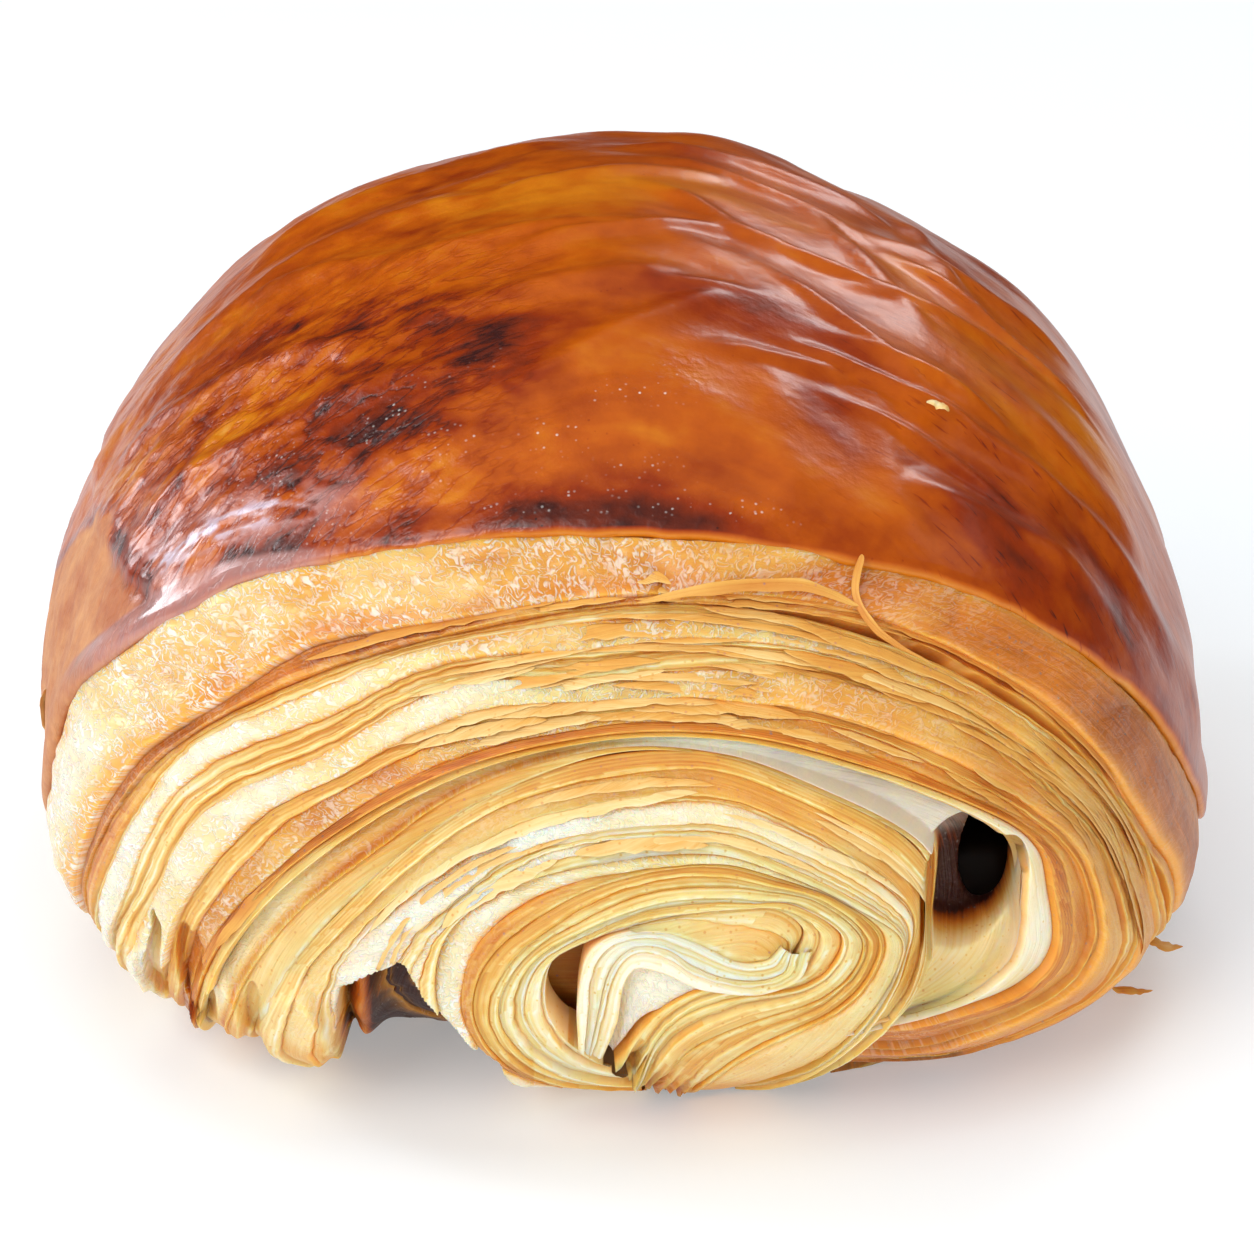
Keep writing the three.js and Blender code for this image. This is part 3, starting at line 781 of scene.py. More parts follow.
def crumb_group():
    """Surface of the dough."""
    return shared_group("Crumb web", ("Curls", "Plies", "Patch"), crumb_web)


def blister_group():
    """Blisters of the dough and the crust."""
    return shared_group("Blisters", ("Mask",), blisters)


def streak_group():
    """Lines of the crust."""
    return shared_group("Streaks", ("Fibres", "Wrinkles", "Cracks"), streaks)


def new_material(name, **values):
    """A material with its tree and shader; inputs are set by name, with underscores for spaces."""
    material = bpy.data.materials.new(name)
    material.use_nodes = True
    tree = material.node_tree
    shader = tree.nodes["Principled BSDF"]
    for key, value in values.items():
        shader.inputs[key.replace("_", " ")].default_value = value
    return material, tree, shader


def dough_material(name, softness, colours):
    """Laminated dough: tone picks the colour from cream to brown; curls whiten webs, partly the crumb's own
    white and partly painted highlight; crevices are deeper, with painted shade and a painted warm glow of
    light through the sheets; white dots on browned parts are painted glints.
    """
    material, tree, shader = new_material(name, Specular_IOR_Level=0.40, Subsurface_Weight=softness,
                                          Subsurface_Radius=(0.0026, 0.0013, 0.0004), Subsurface_Scale=1.0)
    tone, web, nose, film = (attribute(tree, key) for key in ("tone", "web", "nose", "film"))
    place = object_place(tree)
    patch = noise_value(tree, place, 260.0, 4.0)
    fine = noise_value(tree, place, 1700.0, 2.0)
    crumb = use_group(tree, crumb_group())
    blister = use_group(tree, blister_group())["Mask"]
    smooth = less(tree, 1.0, web)
    crevice_shade_and_glow = less(tree, 1.0, nose)
    plies = times(tree, less(tree, crumb["Plies"], 0.5), smooth)

    tone = weighed(tree, less(tree, patch, 0.5), 0.22, tone)
    tone = weighed(tree, plies, 0.22, tone)
    # painted shade in the crevices
    tone = weighed(tree, crevice_shade_and_glow, 0.10, tone)
    tone = weighed(tree, times(tree, blister, smooth), 0.22, tone)
    colour = ramp(tree, tone, [(0.13, colours.cream), (0.34, colours.pale), (0.52, colours.golden),
                               (0.72, colours.orange), (0.92, colours.brown), (1.0, colours.crust_burnt)])
    # painted light: a warm glow painted into the crevices
    colour = mix_colour(tree, math_node(tree, "MINIMUM", times(tree, crevice_shade_and_glow, 2.6), 0.75), colour, colours.glow)
    # curls whiten the webs: partly the crumb's own white strands, partly painted highlights on the curls
    lines = times(tree, crumb["Curls"], web)
    curl_white_and_highlight = times(tree, lines, weighed(tree, crumb["Patch"], 0.46, 0.38))
    colour = mix_colour(tree, curl_white_and_highlight, colour, colours.web)
    # painted glints: tiny white dots on browned parts
    browned = rise(tree, tone, 0.46, 0.66)
    colour = mix_colour(tree, times(tree, times(tree, blister, browned), 0.16), colour, colours.web)
    veiled = times(tree, film, weighed(tree, crumb["Patch"], 0.5, 0.35))
    colour = mix_colour(tree, veiled, colour, colours.veil)
    tree.links.new(colour, shader.inputs["Base Color"])

    relief = weighed(tree, fine, 0.35, lines)
    relief = weighed(tree, plies, 0.80, relief)
    bump = add_node(tree, "ShaderNodeBump", {"Height": relief, "Strength": 0.70, "Distance": 0.00020})
    tree.links.new(bump.outputs[0], shader.inputs["Normal"])
    tree.links.new(weighed(tree, web, -0.22, 0.46), shader.inputs["Roughness"])
    return material


def crust_material(name, colours):
    """Egg-washed crust: bake picks the colour from light to burnt, under a clear coat with tiny blisters. The
    strip along the lip has painted sheen; the gleam above it and the white dots of blisters are painted
    highlights.
    """
    material, tree, shader = new_material(
        name, Coat_Roughness=0.12, Specular_IOR_Level=0.42, Subsurface_Weight=0.06,
        Subsurface_Radius=(0.0018, 0.0007, 0.0002), Subsurface_Scale=1.0)
    tone, web, nose, film, wet = (attribute(tree, key) for key in ("tone", "web", "nose", "film", "wet"))
    place = object_place(tree)
    patch = noise_value(tree, place, 150.0, 8.0, roughness=0.66)
    fine = noise_value(tree, place, 900.0, 3.0)
    line = use_group(tree, streak_group())
    blister = use_group(tree, blister_group())["Mask"]
    fibres = less(tree, line["Fibres"], 0.5)
    wrinkles = times(tree, line["Wrinkles"], rise(tree, wet, 0.12, 0.40))

    tone = weighed(tree, less(tree, patch, 0.5), 0.28, tone)
    tone = weighed(tree, less(tree, fine, 0.5), 0.16, tone)
    tone = weighed(tree, fibres, 0.16, tone)
    tone = weighed(tree, wrinkles, 0.18, tone)
    tone = weighed(tree, times(tree, blister, rise(tree, patch, 0.57, 0.63)), 0.22, tone)
    tone = weighed(tree, line["Cracks"], 0.24, tone)
    bakes = [(0.0, colours.golden), (0.22, colours.crust_light), (0.48, colours.crust_amber),
             (0.74, colours.crust_red), (1.0, colours.crust_burnt)]
    colour = ramp(tree, tone, bakes)
    mottled = weighed(tree, less(tree, fine, 0.5), 0.9, rise(tree, patch, 0.35, 0.65))
    skin = mix_colour(tree, mottled, colours.crust_skin, colours.crust_pale)
    colour = mix_colour(tree, nose, skin, colour)
    # the strip along the lip: its own colour with painted sheen
    filmed_with_sheen = times(tree, math_node(tree, "MINIMUM", film, 1.0), 0.7)
    colour = mix_colour(tree, filmed_with_sheen, colour, colours.crust_film_and_sheen)
    # painted highlight: the gleam above the film strip
    gleam = math_node(tree, "MAXIMUM", less(tree, film, 1.0), 0.0)
    colour = mix_colour(tree, gleam, colour, colours.crust_gleam)
    # painted glints: white dots on the crowded blisters
    blisters_and_glints = times(tree, blister, rise(tree, web, 0.5, 1.0))
    colour = mix_colour(tree, times(tree, blisters_and_glints, 0.55), colour, colours.web)
    tree.links.new(colour, shader.inputs["Base Color"])

    relief = times(tree, fine, weighed(tree, web, 1.6, 0.4))
    relief = weighed(tree, blisters_and_glints, 0.6, relief)
    relief = weighed(tree, patch, 0.4, relief)
    relief = weighed(tree, fibres, 0.35, relief)
    relief = weighed(tree, wrinkles, -0.7, relief)
    bump = add_node(tree, "ShaderNodeBump", {"Height": relief, "Strength": 0.30, "Distance": 0.0004})
    tree.links.new(bump.outputs[0], shader.inputs["Normal"])
    tree.links.new(times(tree, times(tree, wet, nose), 0.9), shader.inputs["Coat Weight"])
    tree.links.new(weighed(tree, nose, -0.29, 0.62), shader.inputs["Roughness"])
    return material


def chocolate_material(name, colours):
    """Dark chocolate, dull, darkened almost to black: its own dark colour with the hollow's shade painted in.
    """
    dark = (*colours.chocolate, 1.0)
    return new_material(name, Base_Color=dark, Roughness=0.55, Specular_IOR_Level=0.12)[0]


def shared_material(name):
    """The named material, made when first asked for; leaves are thin, so no light spreads in them."""
    if name in bpy.data.materials:
        return bpy.data.materials[name]
    colours = bpy.context.scene.loaf_colours
    if name == "Egg-washed crust":
        return crust_material(name, colours)
    if name == "Dark chocolate":
        return chocolate_material(name, colours)
    return dough_material(name, 0.0 if name == "Loose leaves" else 0.55, colours)


# The crust

# Folds of the roof: start x, y, end x, y, height and half-width in millimetres.
FOLDS = [
    (5.3, -5.7, 8.7, -9.4, 0.7, 1.0),
    (8.7, -9.4, 13.7, -11.2, 0.8, 1.0),
    (13.7, -11.2, 20.1, -12.3, 0.9, 1.0),
    (20.1, -12.3, 26.0, -11.2, 0.8, 1.1),
    (13.4, -18.0, 18.6, -23.1, 0.7, 0.9),
    (18.6, -23.1, 23.5, -23.6, 0.7, 0.9),
    (15.8, -25.7, 24.5, -27.2, 0.7, 0.7),
    (14.2, 0.3, 20.1, -12.0, 0.6, 1.3),
    (6.0, 4.5, 14.2, 0.3, 0.7, 1.2),
    (23.3, 9.0, 24.1, 0.1, 0.6, 1.3),
    (24.1, 0.1, 31.0, 0.4, 0.7, 1.2),
    (24.0, -5.0, 32.0, -9.0, 0.7, 0.9),
    (-5.6, -31.7, 5.1, -23.6, 0.6, 1.2),
    (-0.3, -21.0, 6.0, -20.9, 0.5, 0.9),
    (-3.1, -13.6, 5.3, -10.7, 0.7, 1.1),
    (-6.1, -0.8, 5.5, 1.5, 0.6, 1.4),
    (4.0, 11.0, 17.0, 8.0, 0.7, 1.4),
    (18.9, -30.0, 23.5, -31.0, 0.6, 0.7),
    (22.6, -34.7, 30.0, -33.2, 0.7, 1.2),
    (26.0, -27.0, 35.0, -26.0, 0.6, 1.1),
    (9.3, -27.2, 13.1, -27.0, 0.5, 0.8),
    (10.8, -31.3, 11.4, -38.9, 0.3, 1.6),
    (18.1, -30.4, 18.8, -37.9, 0.3, 1.5),
    (-24.5, -7.7, -14.6, -13.0, 0.6, 1.5),
    (-14.6, -13.0, -0.1, -12.2, 0.6, 1.4),
    (-12.8, -22.4, 1.4, -20.4, 0.6, 1.5),
    (-30.0, -6.0, -14.0, -2.0, 0.6, 1.9),
    (-33.0, -16.0, -20.0, -22.0, 0.6, 1.4),
    (-30.0, -27.0, -17.0, -29.0, 0.5, 1.2),
    (-24.0, 6.0, -8.0, 12.0, 0.5, 2.2),
    (7.0, 18.0, 12.0, 20.0, 0.6, 4.0),
]
# Patches of the bake: x, y, half-size along x and y, and how much darker it is there.
PATCHES = [
    (-19, -34, 7.0, 2.0, 0.26), (-27, -16, 4.5, 2.2, 0.28), (-10, -30, 4.5, 3.2, 0.16),
    (3, -39, 4.5, 1.6, 0.18),
    (-13, -33, 5, 1.8, 0.14), (6, -42, 11, 1.4, 0.08), (28, -32, 8, 4.0, 0.13), (36, -29, 5, 6, 0.14),
    (18, -36, 2.4, 4.5, -0.16), (1, -36.5, 3.2, 1.6, -0.14), (-4, -17, 7, 5, -0.12), (1, -3, 9, 5, -0.08),
    (-30, -23, 4, 6, -0.14), (-9, -34, 1.6, 1.4, -0.24), (10, -39, 1.6, 3, -0.12), (-24, -26, 6, 2.5, -0.10),
    (-38, -18, 3, 16, -0.12), (14, -30, 3.5, 5, 0.12), (20, -34, 6, 4, 0.12), (33, -18, 6, 9, -0.12),
    (-8, -25, 5, 3, 0.16), (2, -22, 8, 3, 0.12), (-16, -8, 7, 3, 0.12), (12, -10, 10, 3, 0.10),
    (-22, -20, 5, 2, 0.16),
]


def fold_field(x, y):
    """Highest of the roof's folds at each place: a bell across a fold's line, which fades at its ends."""
    total = np.zeros(x.shape)
    for x0, y0, x1, y1, height, width in FOLDS:
        length = math.hypot(x1 - x0, y1 - y0)
        ux, uy = (x1 - x0) / length, (y1 - y0) / length
        along = (x - x0) * ux + (y - y0) * uy
        beyond = np.maximum(np.maximum(-along, along - length), 0)
        across = -(x - x0) * uy + (y - y0) * ux
        across = across + 0.5 * noise(along / 4, across / 9, 0 * x, 5)
        total = np.maximum(total, height * np.exp(-(across / width) ** 2 - (beyond / 3.5) ** 2))
    return total


def fan(x, y):
    """Level of the streaks: they run across the loaf and fan out from the roof towards the front corners."""
    return y + FAN_SLOPE * np.sqrt(x ** 2 + FAN_ROUND ** 2)


def crease_field(x, y, z):
    """Creases of the torn front left corner: sharp lines where two drawn-out noises pass through zero."""
    wx = x + 1.3 * fbm(x / 5, y / 3, z / 5, 3, 61)
    streak = fan(wx, y)
    line = 1 - np.abs(noise(wx / 5.5, streak / 2.4, z / 5.5, 92))
    second = 1 - np.abs(noise(wx / 2.6, streak / 1.7, z / 2.6, 93))
    corner = (1 - smoothstep(-16, 0, x)) * (1 - smoothstep(-22, -5, y))
    return corner, corner * (0.65 * smoothstep(0.62, 1, line) + 0.35 * smoothstep(0.62, 1, second))


def bake_field(x, y, z):
    """Baking tone of the crust: broad noise, streaks, and darker or lighter patches, with torn edges."""
    wx = x + 1.3 * fbm(x / 5, y / 3, z / 5, 3, 61)
    wy = y + 0.8 * fbm(x / 5, y / 3, z / 5, 3, 66)
    streak = fan(wx, wy)
    rough = 1 - smoothstep(-14, 4, x)
    tone = 0.53 + 0.12 * fbm(x / 13, streak / 9, z / 13, 3, 63)
    tone = tone + 0.09 * fbm(wx / 5, streak / 3.4, z / 6, 3, 64)
    tone = tone + (0.02 + 0.09 * rough) * fbm(x / 1.7, y / 1.1, z / 1.7, 3, 69)
    flaky = fbm(wx / 6.5, wy / 3.2, z / 6.5, 4, 74)
    front = rough * (1 - smoothstep(-24, -8, y))
    tone = tone + front * (0.16 * smoothstep(0.15, 0.45, flaky) - 0.12 * smoothstep(0.20, 0.55, -flaky))
    torn = 1 + 0.7 * fbm(x / 3.5, y / 2.0, z / 3.5, 3, 68)
    for px, py, rx, ry, amount in PATCHES:
        tone = tone + amount * torn * np.exp(-((wx - px) / rx) ** 2 - ((wy - py) / ry) ** 2)
    corner, crease = crease_field(x, y, z)
    tone = tone - 0.16 * (1 - smoothstep(2, 17, z)) + 0.22 * crease - 0.06 * corner
    return np.minimum(tone, DARKEST)


LIP_STEPS = 1500
CRUST_COLUMNS = 400
CRUST_ROWS = 234
# The lip's rounded edge, from under the crust outwards: places along the crust, and shares of its rise.
EDGE_ALONG = np.array([2.6, 0.6, -0.05, -0.28, -0.30, -0.10, 0.40])
EDGE_RISE = np.array([-3.2, -1.3, -0.55, -0.15, 0.25, 0.62, 0.90])
EDGE_ROWS = 6
OVERHANG = 0.45
# The crust narrows at the feet below this span, and its narrow ends are tucked under the bands.
NARROW_SPAN = 12
TUCK = 2.4


def lip_places():
    """Even places along the lip: x, z and distance from its start."""
    lip = spline(LIP, LIP_STEPS)
    run = run_along(lip)
    steps = np.arange(LIP_STEPS)
    even = np.linspace(0, run[-1], CRUST_COLUMNS)
    at = np.interp(even, run, steps)
    return np.interp(at, steps, lip[:, 0]), np.interp(at, steps, lip[:, 1]), even


def crust_base(loaf):
    """Places of the crust on the loaf, with their distance from the nearer lip, their rise and their UV.

    Each place of the front lip runs on over the loaf to the back lip. Rows near a lip form its rounded edge.
    """
    lip_x, lip_z, lip_run = lip_places()
    wavy = 0.35 * noise(np.linspace(0, 22, CRUST_COLUMNS), 0.0, 0.0, 71)
    wavy = wavy + 0.15 * noise(np.linspace(0, 80, CRUST_COLUMNS), 0.0, 0.0, 72)
    angle = np.arctan2(lip_z - loaf.axis, lip_x)
    radius, power = loaf.radius(angle), loaf.power(angle)
    share = np.minimum(np.hypot(lip_x, lip_z - loaf.axis) / radius, 0.99999)
    start = np.arctan2(share, (1 - share ** power) ** (1 / power))
    span = (math.pi - 2 * start) * loaf.half_length
    tight = np.clip(span / NARROW_SPAN, 0, 1)
    ease = np.linspace(0, 1, CRUST_ROWS) ** 1.35
    edge = EDGE_ALONG[:, None] * tight
    middle = tight + ease[:, None] * (span - 2 * tight)[None]
    along = np.concatenate([edge, middle, span - edge[::-1]])
    ends = np.ones(len(EDGE_ALONG))
    sway = np.concatenate([ends, np.linspace(1, -1, CRUST_ROWS), -ends])
    along = along + sway[:, None] * ((wavy - OVERHANG) * tight)
    rise = np.concatenate([EDGE_RISE, np.ones(CRUST_ROWS), EDGE_RISE[::-1]])[:, None] * loaf.crust_rise
    rise = rise - TUCK * (1 - smoothstep(0.06, 0.32, tight))
    turn = start + along / loaf.half_length
    q, r = np.abs(np.cos(turn)), np.sin(turn)
    size = (q ** power + r ** power) ** (1 / power)
    x = radius * r / size * np.cos(angle)
    z = loaf.axis + radius * r / size * np.sin(angle)
    y = -np.sign(np.cos(turn)) * loaf.half_length * q / size
    uv = np.stack([np.broadcast_to(lip_run, x.shape), along], -1)
    return np.stack([x, y, z], -1), np.minimum(along, span - along), rise, uv


def outward_normal(loaf, base):
    """Normals of a grid of points round the loaf, turned away from its axis."""
    normal = np.cross(np.gradient(base, axis=1), np.gradient(base, axis=0))
    normal /= np.maximum(np.linalg.norm(normal, axis=-1, keepdims=True), 1e-9)
    outward = np.sum(normal * (base - np.array([0, 0, loaf.axis])), -1, keepdims=True)
    return np.where(outward < 0, -normal, normal)


def crust_relief(loaf, x, y, z, from_lip):
    """Height of the crust over its base: swells, folds, fine creases, the seam's step and slumped flanks."""
    swell = 0.55 * fbm(x / 12, fan(x, y) / 7.5, z / 12, 2, 81)
    folds = loaf.fold_height * (swell + fold_field(x, y) * smoothstep(24, 36, z))
    corner, crease = crease_field(x, y, z)
    rough = 0.015 + 0.03 * (1 - smoothstep(-14, 2, x)) + 0.05 * corner
    small = rough * fbm(x / 1.6, y / 1.1, z / 1.6, 3, 85) - 0.11 * crease
    fade = smoothstep(0.5, 6, from_lip) * smoothstep(0, 8, z)
    step = np.where(x < 0, smoothstep(34.4, 35.6, z) * 0.35 - 0.35, 0.0) * smoothstep(0.5, 3, from_lip)
    slump = 1.3 * np.exp(-((x - 17) / 12) ** 2) * smoothstep(24, 44, z) + 0.5 * smoothstep(30, 42, x)
    slump = slump + 0.7 * smoothstep(30, 38, x) * np.exp(-((z - 19) / 7) ** 2)
    slump = slump + 0.7 * smoothstep(20, 30, x) * smoothstep(24, 32, z)
    return (folds + small) * fade + step - slump * smoothstep(2, 14, from_lip)


def crust_blisters_and_glints(x, y, from_lip):
    """How crowded the blisters and their painted white glints are: near the front, at the left, and in a row
    along the lip.
    """
    near_front = np.exp(-((y + 34) / 8) ** 2) * smoothstep(-34, -24, x) * (1 - smoothstep(2, 14, x))
    crowd = 0.04 + 0.96 * near_front * smoothstep(-0.3, 0.5, noise(x / 4, y / 3, 0 * x, 89))
    crowd = np.maximum(crowd, 0.5 * (1 - smoothstep(-18, -4, x)) * (y < 10))
    dotted = np.exp(-((from_lip - 2.2) / 1.8) ** 2) * (1 - smoothstep(8, 16, np.abs(x - 1))) * (y < 0)
    return np.maximum(crowd, 0.95 * dotted)


def crust_grid(loaf):
    """The crust: its base raised along the normal by its relief, with bake, egg wash and the lip's film.

    The egg wash ends at a seam low on the left side. A shiny film, its colour partly painted sheen, and a
    gleam, a painted highlight, run along the left lip.
    """
    base, from_lip, rise, uv = crust_base(loaf)
    x, y, z = base[..., 0], base[..., 1], base[..., 2]
    height = rise + crust_relief(loaf, x, y, z, from_lip)
    points = base + outward_normal(loaf, base) * height[..., None]
    points[..., 2] = np.maximum(points[..., 2], TABLE_GAP)

    tone = bake_field(x, y, z)
    baked = 0.06 + 0.22 * np.exp(-((x - 1) / 13) ** 2) * (y < 0)
    tone = tone + baked * np.exp(-(np.maximum(from_lip, 0) / 3.2) ** 2)
    tone[:EDGE_ROWS] = LIP_TONE
    tone[-EDGE_ROWS:] = LIP_TONE
    seam = 35 - 17 * smoothstep(-20, 6, y)
    seam = seam + 1.2 * noise(y / 7, 0 * y, 0 * y, 88) + 0.8 * noise(y / 2, z / 3, 0 * y, 87)
    glazed = np.where(x < 0, smoothstep(seam - 0.5, seam + 0.5, z), smoothstep(0, 6, z))
    seamed = (x < -10) * (1 - 0.7 * smoothstep(-20, 0, y))
    tone = tone + 0.24 * np.exp(-((z - seam - 0.9) / 0.9) ** 2) * seamed

    shiny = 2.4 * (1 - smoothstep(-34, -15, x))
    film = (1 - smoothstep(shiny - 0.4, shiny + 0.3, from_lip)) * smoothstep(0.2, 0.6, shiny)
    film = film * smoothstep(24, 33, z)
    # painted highlight: a gleam above the film strip
    gleam = np.exp(-((from_lip - 4.9) / 2.0) ** 2) * (1 - smoothstep(-25, -15, x))
    gleam = gleam * smoothstep(seam, seam + 2, z) * (y < 0)
    gleam = gleam * smoothstep(-0.45, 0.15, fbm(x / 1.5, from_lip / 0.8, z / 1.5, 3, 94))
    corner, _ = crease_field(x, y, z)
    wet = np.maximum(0.10 + 0.28 * corner, film)
    return surface(loaf.flare(points), uv, False, tone=tone, web=crust_blisters_and_glints(x, y, from_lip),
                   nose=np.maximum(glazed, film), film=film + (1.9 - film) * gleam, wet=wet)


class LOAF_OT_crust(bpy.types.Operator):
    """Build the glossy crust with its overhanging lips"""
    bl_idname = "loaf.crust"
    bl_label = "Crust"

    def execute(self, context):
        loaf = Loaf(context.scene.loaf_sizes)
        make_piece("crust", [crust_grid(loaf)], shared_material("Egg-washed crust"))
        return {"FINISHED"}


# The end faces

# Rows along the ribbons, fineness across them, and first seed, for each end.
BAND_ROWS = {FRONT: 700, BACK: 360}
MOUTH_ROWS = {FRONT: 640, BACK: 320}
COIL_ROWS = {FRONT: 420, BACK: 240}
FINENESS = {FRONT: 1.0, BACK: 0.7}
SEEDS = {FRONT: 100, BACK: 300}
# Ribbons of the coil, from its rim to the fold at its heart: guide lines, layers, lift, and frayed or not.
COIL = [
    (TURN_ONE, TURN_TWO, RIM_LAYERS, 0.2, False),
    (TURN_TWO, TURN_THREE, TURN_LAYERS, 0.3, True),
    (TURN_THREE, TURN_FOUR, PALE_LAYERS, 0.2, True),
    (TURN_FOUR, TURN_FIVE, PALE_LAYERS, 0.0, True),
    (FOLD_ONE, FOLD_TWO, FOLD_LAYERS, 0.3, False),
    (FOLD_TWO, FOLD_THREE, FOLD_LAYERS, 0.2, False),
    (FOLD_THREE, FOLD_FLOOR, WEB_LAYERS, -0.2, False),
    (BULB_TOP, BULB_BASE, BULB_LAYERS, -0.1, False),
]


def band_grids(loaf, side):
    """Ribbons of an end face outside the hollow: the band under the crust, and the sheets."""
    rows, fine, seed = BAND_ROWS[side], FINENESS[side], SEEDS[side]
    return [
        ribbon(loaf, LIP, BAND_EDGE, BAND_LAYERS, rows, side, seed + 1, fine=fine, puff=0.8),
        ribbon(loaf, SHEET_EDGE, ORANGE_EDGE, SHEET_LAYERS, rows, side, seed + 2, fine=fine, toast=0.88),
    ]


def mouth_grids(loaf, side):
    """Ribbons between the sheets and the coil: the wall of the hollow, and the coil's jacket."""
    rows, fine, seed = MOUTH_ROWS[side], FINENESS[side], SEEDS[side]
    return [
        ribbon(loaf, ORANGE_EDGE, JACKET, MOUTH_LAYERS, rows, side, seed + 3, veil=True, fine=1.2 * fine),
        ribbon(loaf, JACKET_TURN, TURN_ONE, JACKET_LAYERS, rows, side, seed + 4, fine=fine),
    ]


def coil_grids(loaf, side):
    """Ribbons of the coil, and the dough behind its gaps: ovals round its heart, sunk into the end, with a
    darker tone as painted shade of the gaps.
    """
    grids = [ribbon(loaf, outer, inner, layers, COIL_ROWS[side], side, SEEDS[side] + 5 + i, lift=lift,
                    fine=FINENESS[side], frayed=frayed)
             for i, (outer, inner, layers, lift, frayed) in enumerate(COIL)]
    turn = np.linspace(0, 2 * np.pi, 97)[None]
    size = np.linspace(0.02, 1, 24)[:, None]
    x = 3.0 + 17 * size * np.cos(turn)
    z = np.maximum(13.0 + 12 * size * np.sin(turn), 0.4)
    points = loaf.on_end(x, z, side, -4.5 + 0.5 * noise(x / 3, z / 3, 0 * x, 91))
    # the dough behind the gaps is darker, as painted shade of the gaps
    return [*grids, surface(points, np.stack([x, z], -1), side < 0, tone=0.66)]


class LOAF_OT_bands(bpy.types.Operator):
    """Build the outer bands and sheets of both end faces"""
    bl_idname = "loaf.bands"
    bl_label = "Outer bands"

    def execute(self, context):
        loaf = Loaf(context.scene.loaf_sizes)
        dough = shared_material("Laminated dough")
        band, sheets = band_grids(loaf, FRONT)
        make_piece("front_band", [band], dough)
        make_piece("front_sheets", [sheets], dough)
        make_piece("back_bands", band_grids(loaf, BACK), dough)
        return {"FINISHED"}


class LOAF_OT_mouth(bpy.types.Operator):
    """Build the coil's jacket and the hollow beside it on both end faces"""
    bl_idname = "loaf.mouth"
    bl_label = "Jacket and hollow"

    def execute(self, context):
        loaf = Loaf(context.scene.loaf_sizes)
        dough = shared_material("Laminated dough")
        mouth, jacket = mouth_grids(loaf, FRONT)
        make_piece("front_mouth", [mouth], dough)
        make_piece("front_jacket", [jacket], dough)
        make_piece("back_mouth", mouth_grids(loaf, BACK), dough)
        return {"FINISHED"}


class LOAF_OT_coil(bpy.types.Operator):
    """Build the coil of both end faces"""
    bl_idname = "loaf.coil"
    bl_label = "Coil"

    def execute(self, context):
        loaf = Loaf(context.scene.loaf_sizes)
        dough = shared_material("Laminated dough")
        make_piece("front_coil", coil_grids(loaf, FRONT), dough)
        make_piece("back_coil", coil_grids(loaf, BACK), dough)
        return {"FINISHED"}


# The filling and the underside

def rounded(value, power):
    """A sine or cosine raised to a power with its sign kept, which squares a round."""
    return np.sign(value) * np.abs(value) ** power


class LOAF_OT_chocolate(bpy.types.Operator):
    """Build the chocolate baton, a rounded box with slightly uneven sides"""
    bl_idname = "loaf.chocolate"
    bl_label = "Chocolate"

    def execute(self, context):
        sizes = context.scene.loaf_sizes
        turn = np.linspace(0, 2 * np.pi, 65)[None]
        rise = np.linspace(-math.pi / 2, math.pi / 2, 61)[:, None]
        ring = rounded(np.cos(rise), 0.25)
        x = rounded(np.cos(turn), 0.5) * ring * sizes.baton_width / 2 + sizes.baton_x
        z = rounded(np.sin(turn), 0.5) * ring * sizes.baton_tall / 2 + sizes.baton_z
        y = rounded(np.sin(rise), 0.25) * sizes.baton_length / 2 + 0 * turn
        points = np.stack([x, y, z], -1) / MM
        points = points + 0.15 * noise(points[..., :1] / 2, points[..., 1:2] / 2, points[..., 2:] / 2, 95)
        grid = surface(points, np.stack([turn + 0 * x, rise + 0 * x], -1), True, nose=0.0)
        dark = shared_material("Dark chocolate")
        make_piece("chocolate", [grid], dark, "chocolate_baton")
        return {"FINISHED"}


class LOAF_OT_underside(bpy.types.Operator):
    """Build the browned underside, almost flat and just inside the foot"""
    bl_idname = "loaf.underside"
    bl_label = "Underside"

    def execute(self, context):
        loaf = Loaf(context.scene.loaf_sizes)
        count = 121
        foot = (1 - (loaf.axis / loaf.under) ** UNDER_POWER) ** (1 / UNDER_POWER) * loaf.half_width
        across = np.sin(np.linspace(-math.pi / 2, math.pi / 2, count))[:, None]
        x = 0.94 * foot * across + np.zeros((1, count))
        y = np.maximum(loaf.reach(x, 0.15) * 0.985 - face_depth(x, 0.15), 0) * np.linspace(-1, 1, count)[None]
        z = 0.02 + 0.25 * np.maximum(fbm(x / 6, y / 6, 0 * x, 3, 97), 0)
        points = loaf.flare(np.stack([x, y, z], -1))
        tone = 0.72 + 0.12 * fbm(x / 9, y / 9, 0 * x, 3, 98)
        make_piece("underside", [surface(points, np.stack([x, y], -1), True, tone=tone)],
                   shared_material("Laminated dough"))
        return {"FINISHED"}


# Flakes

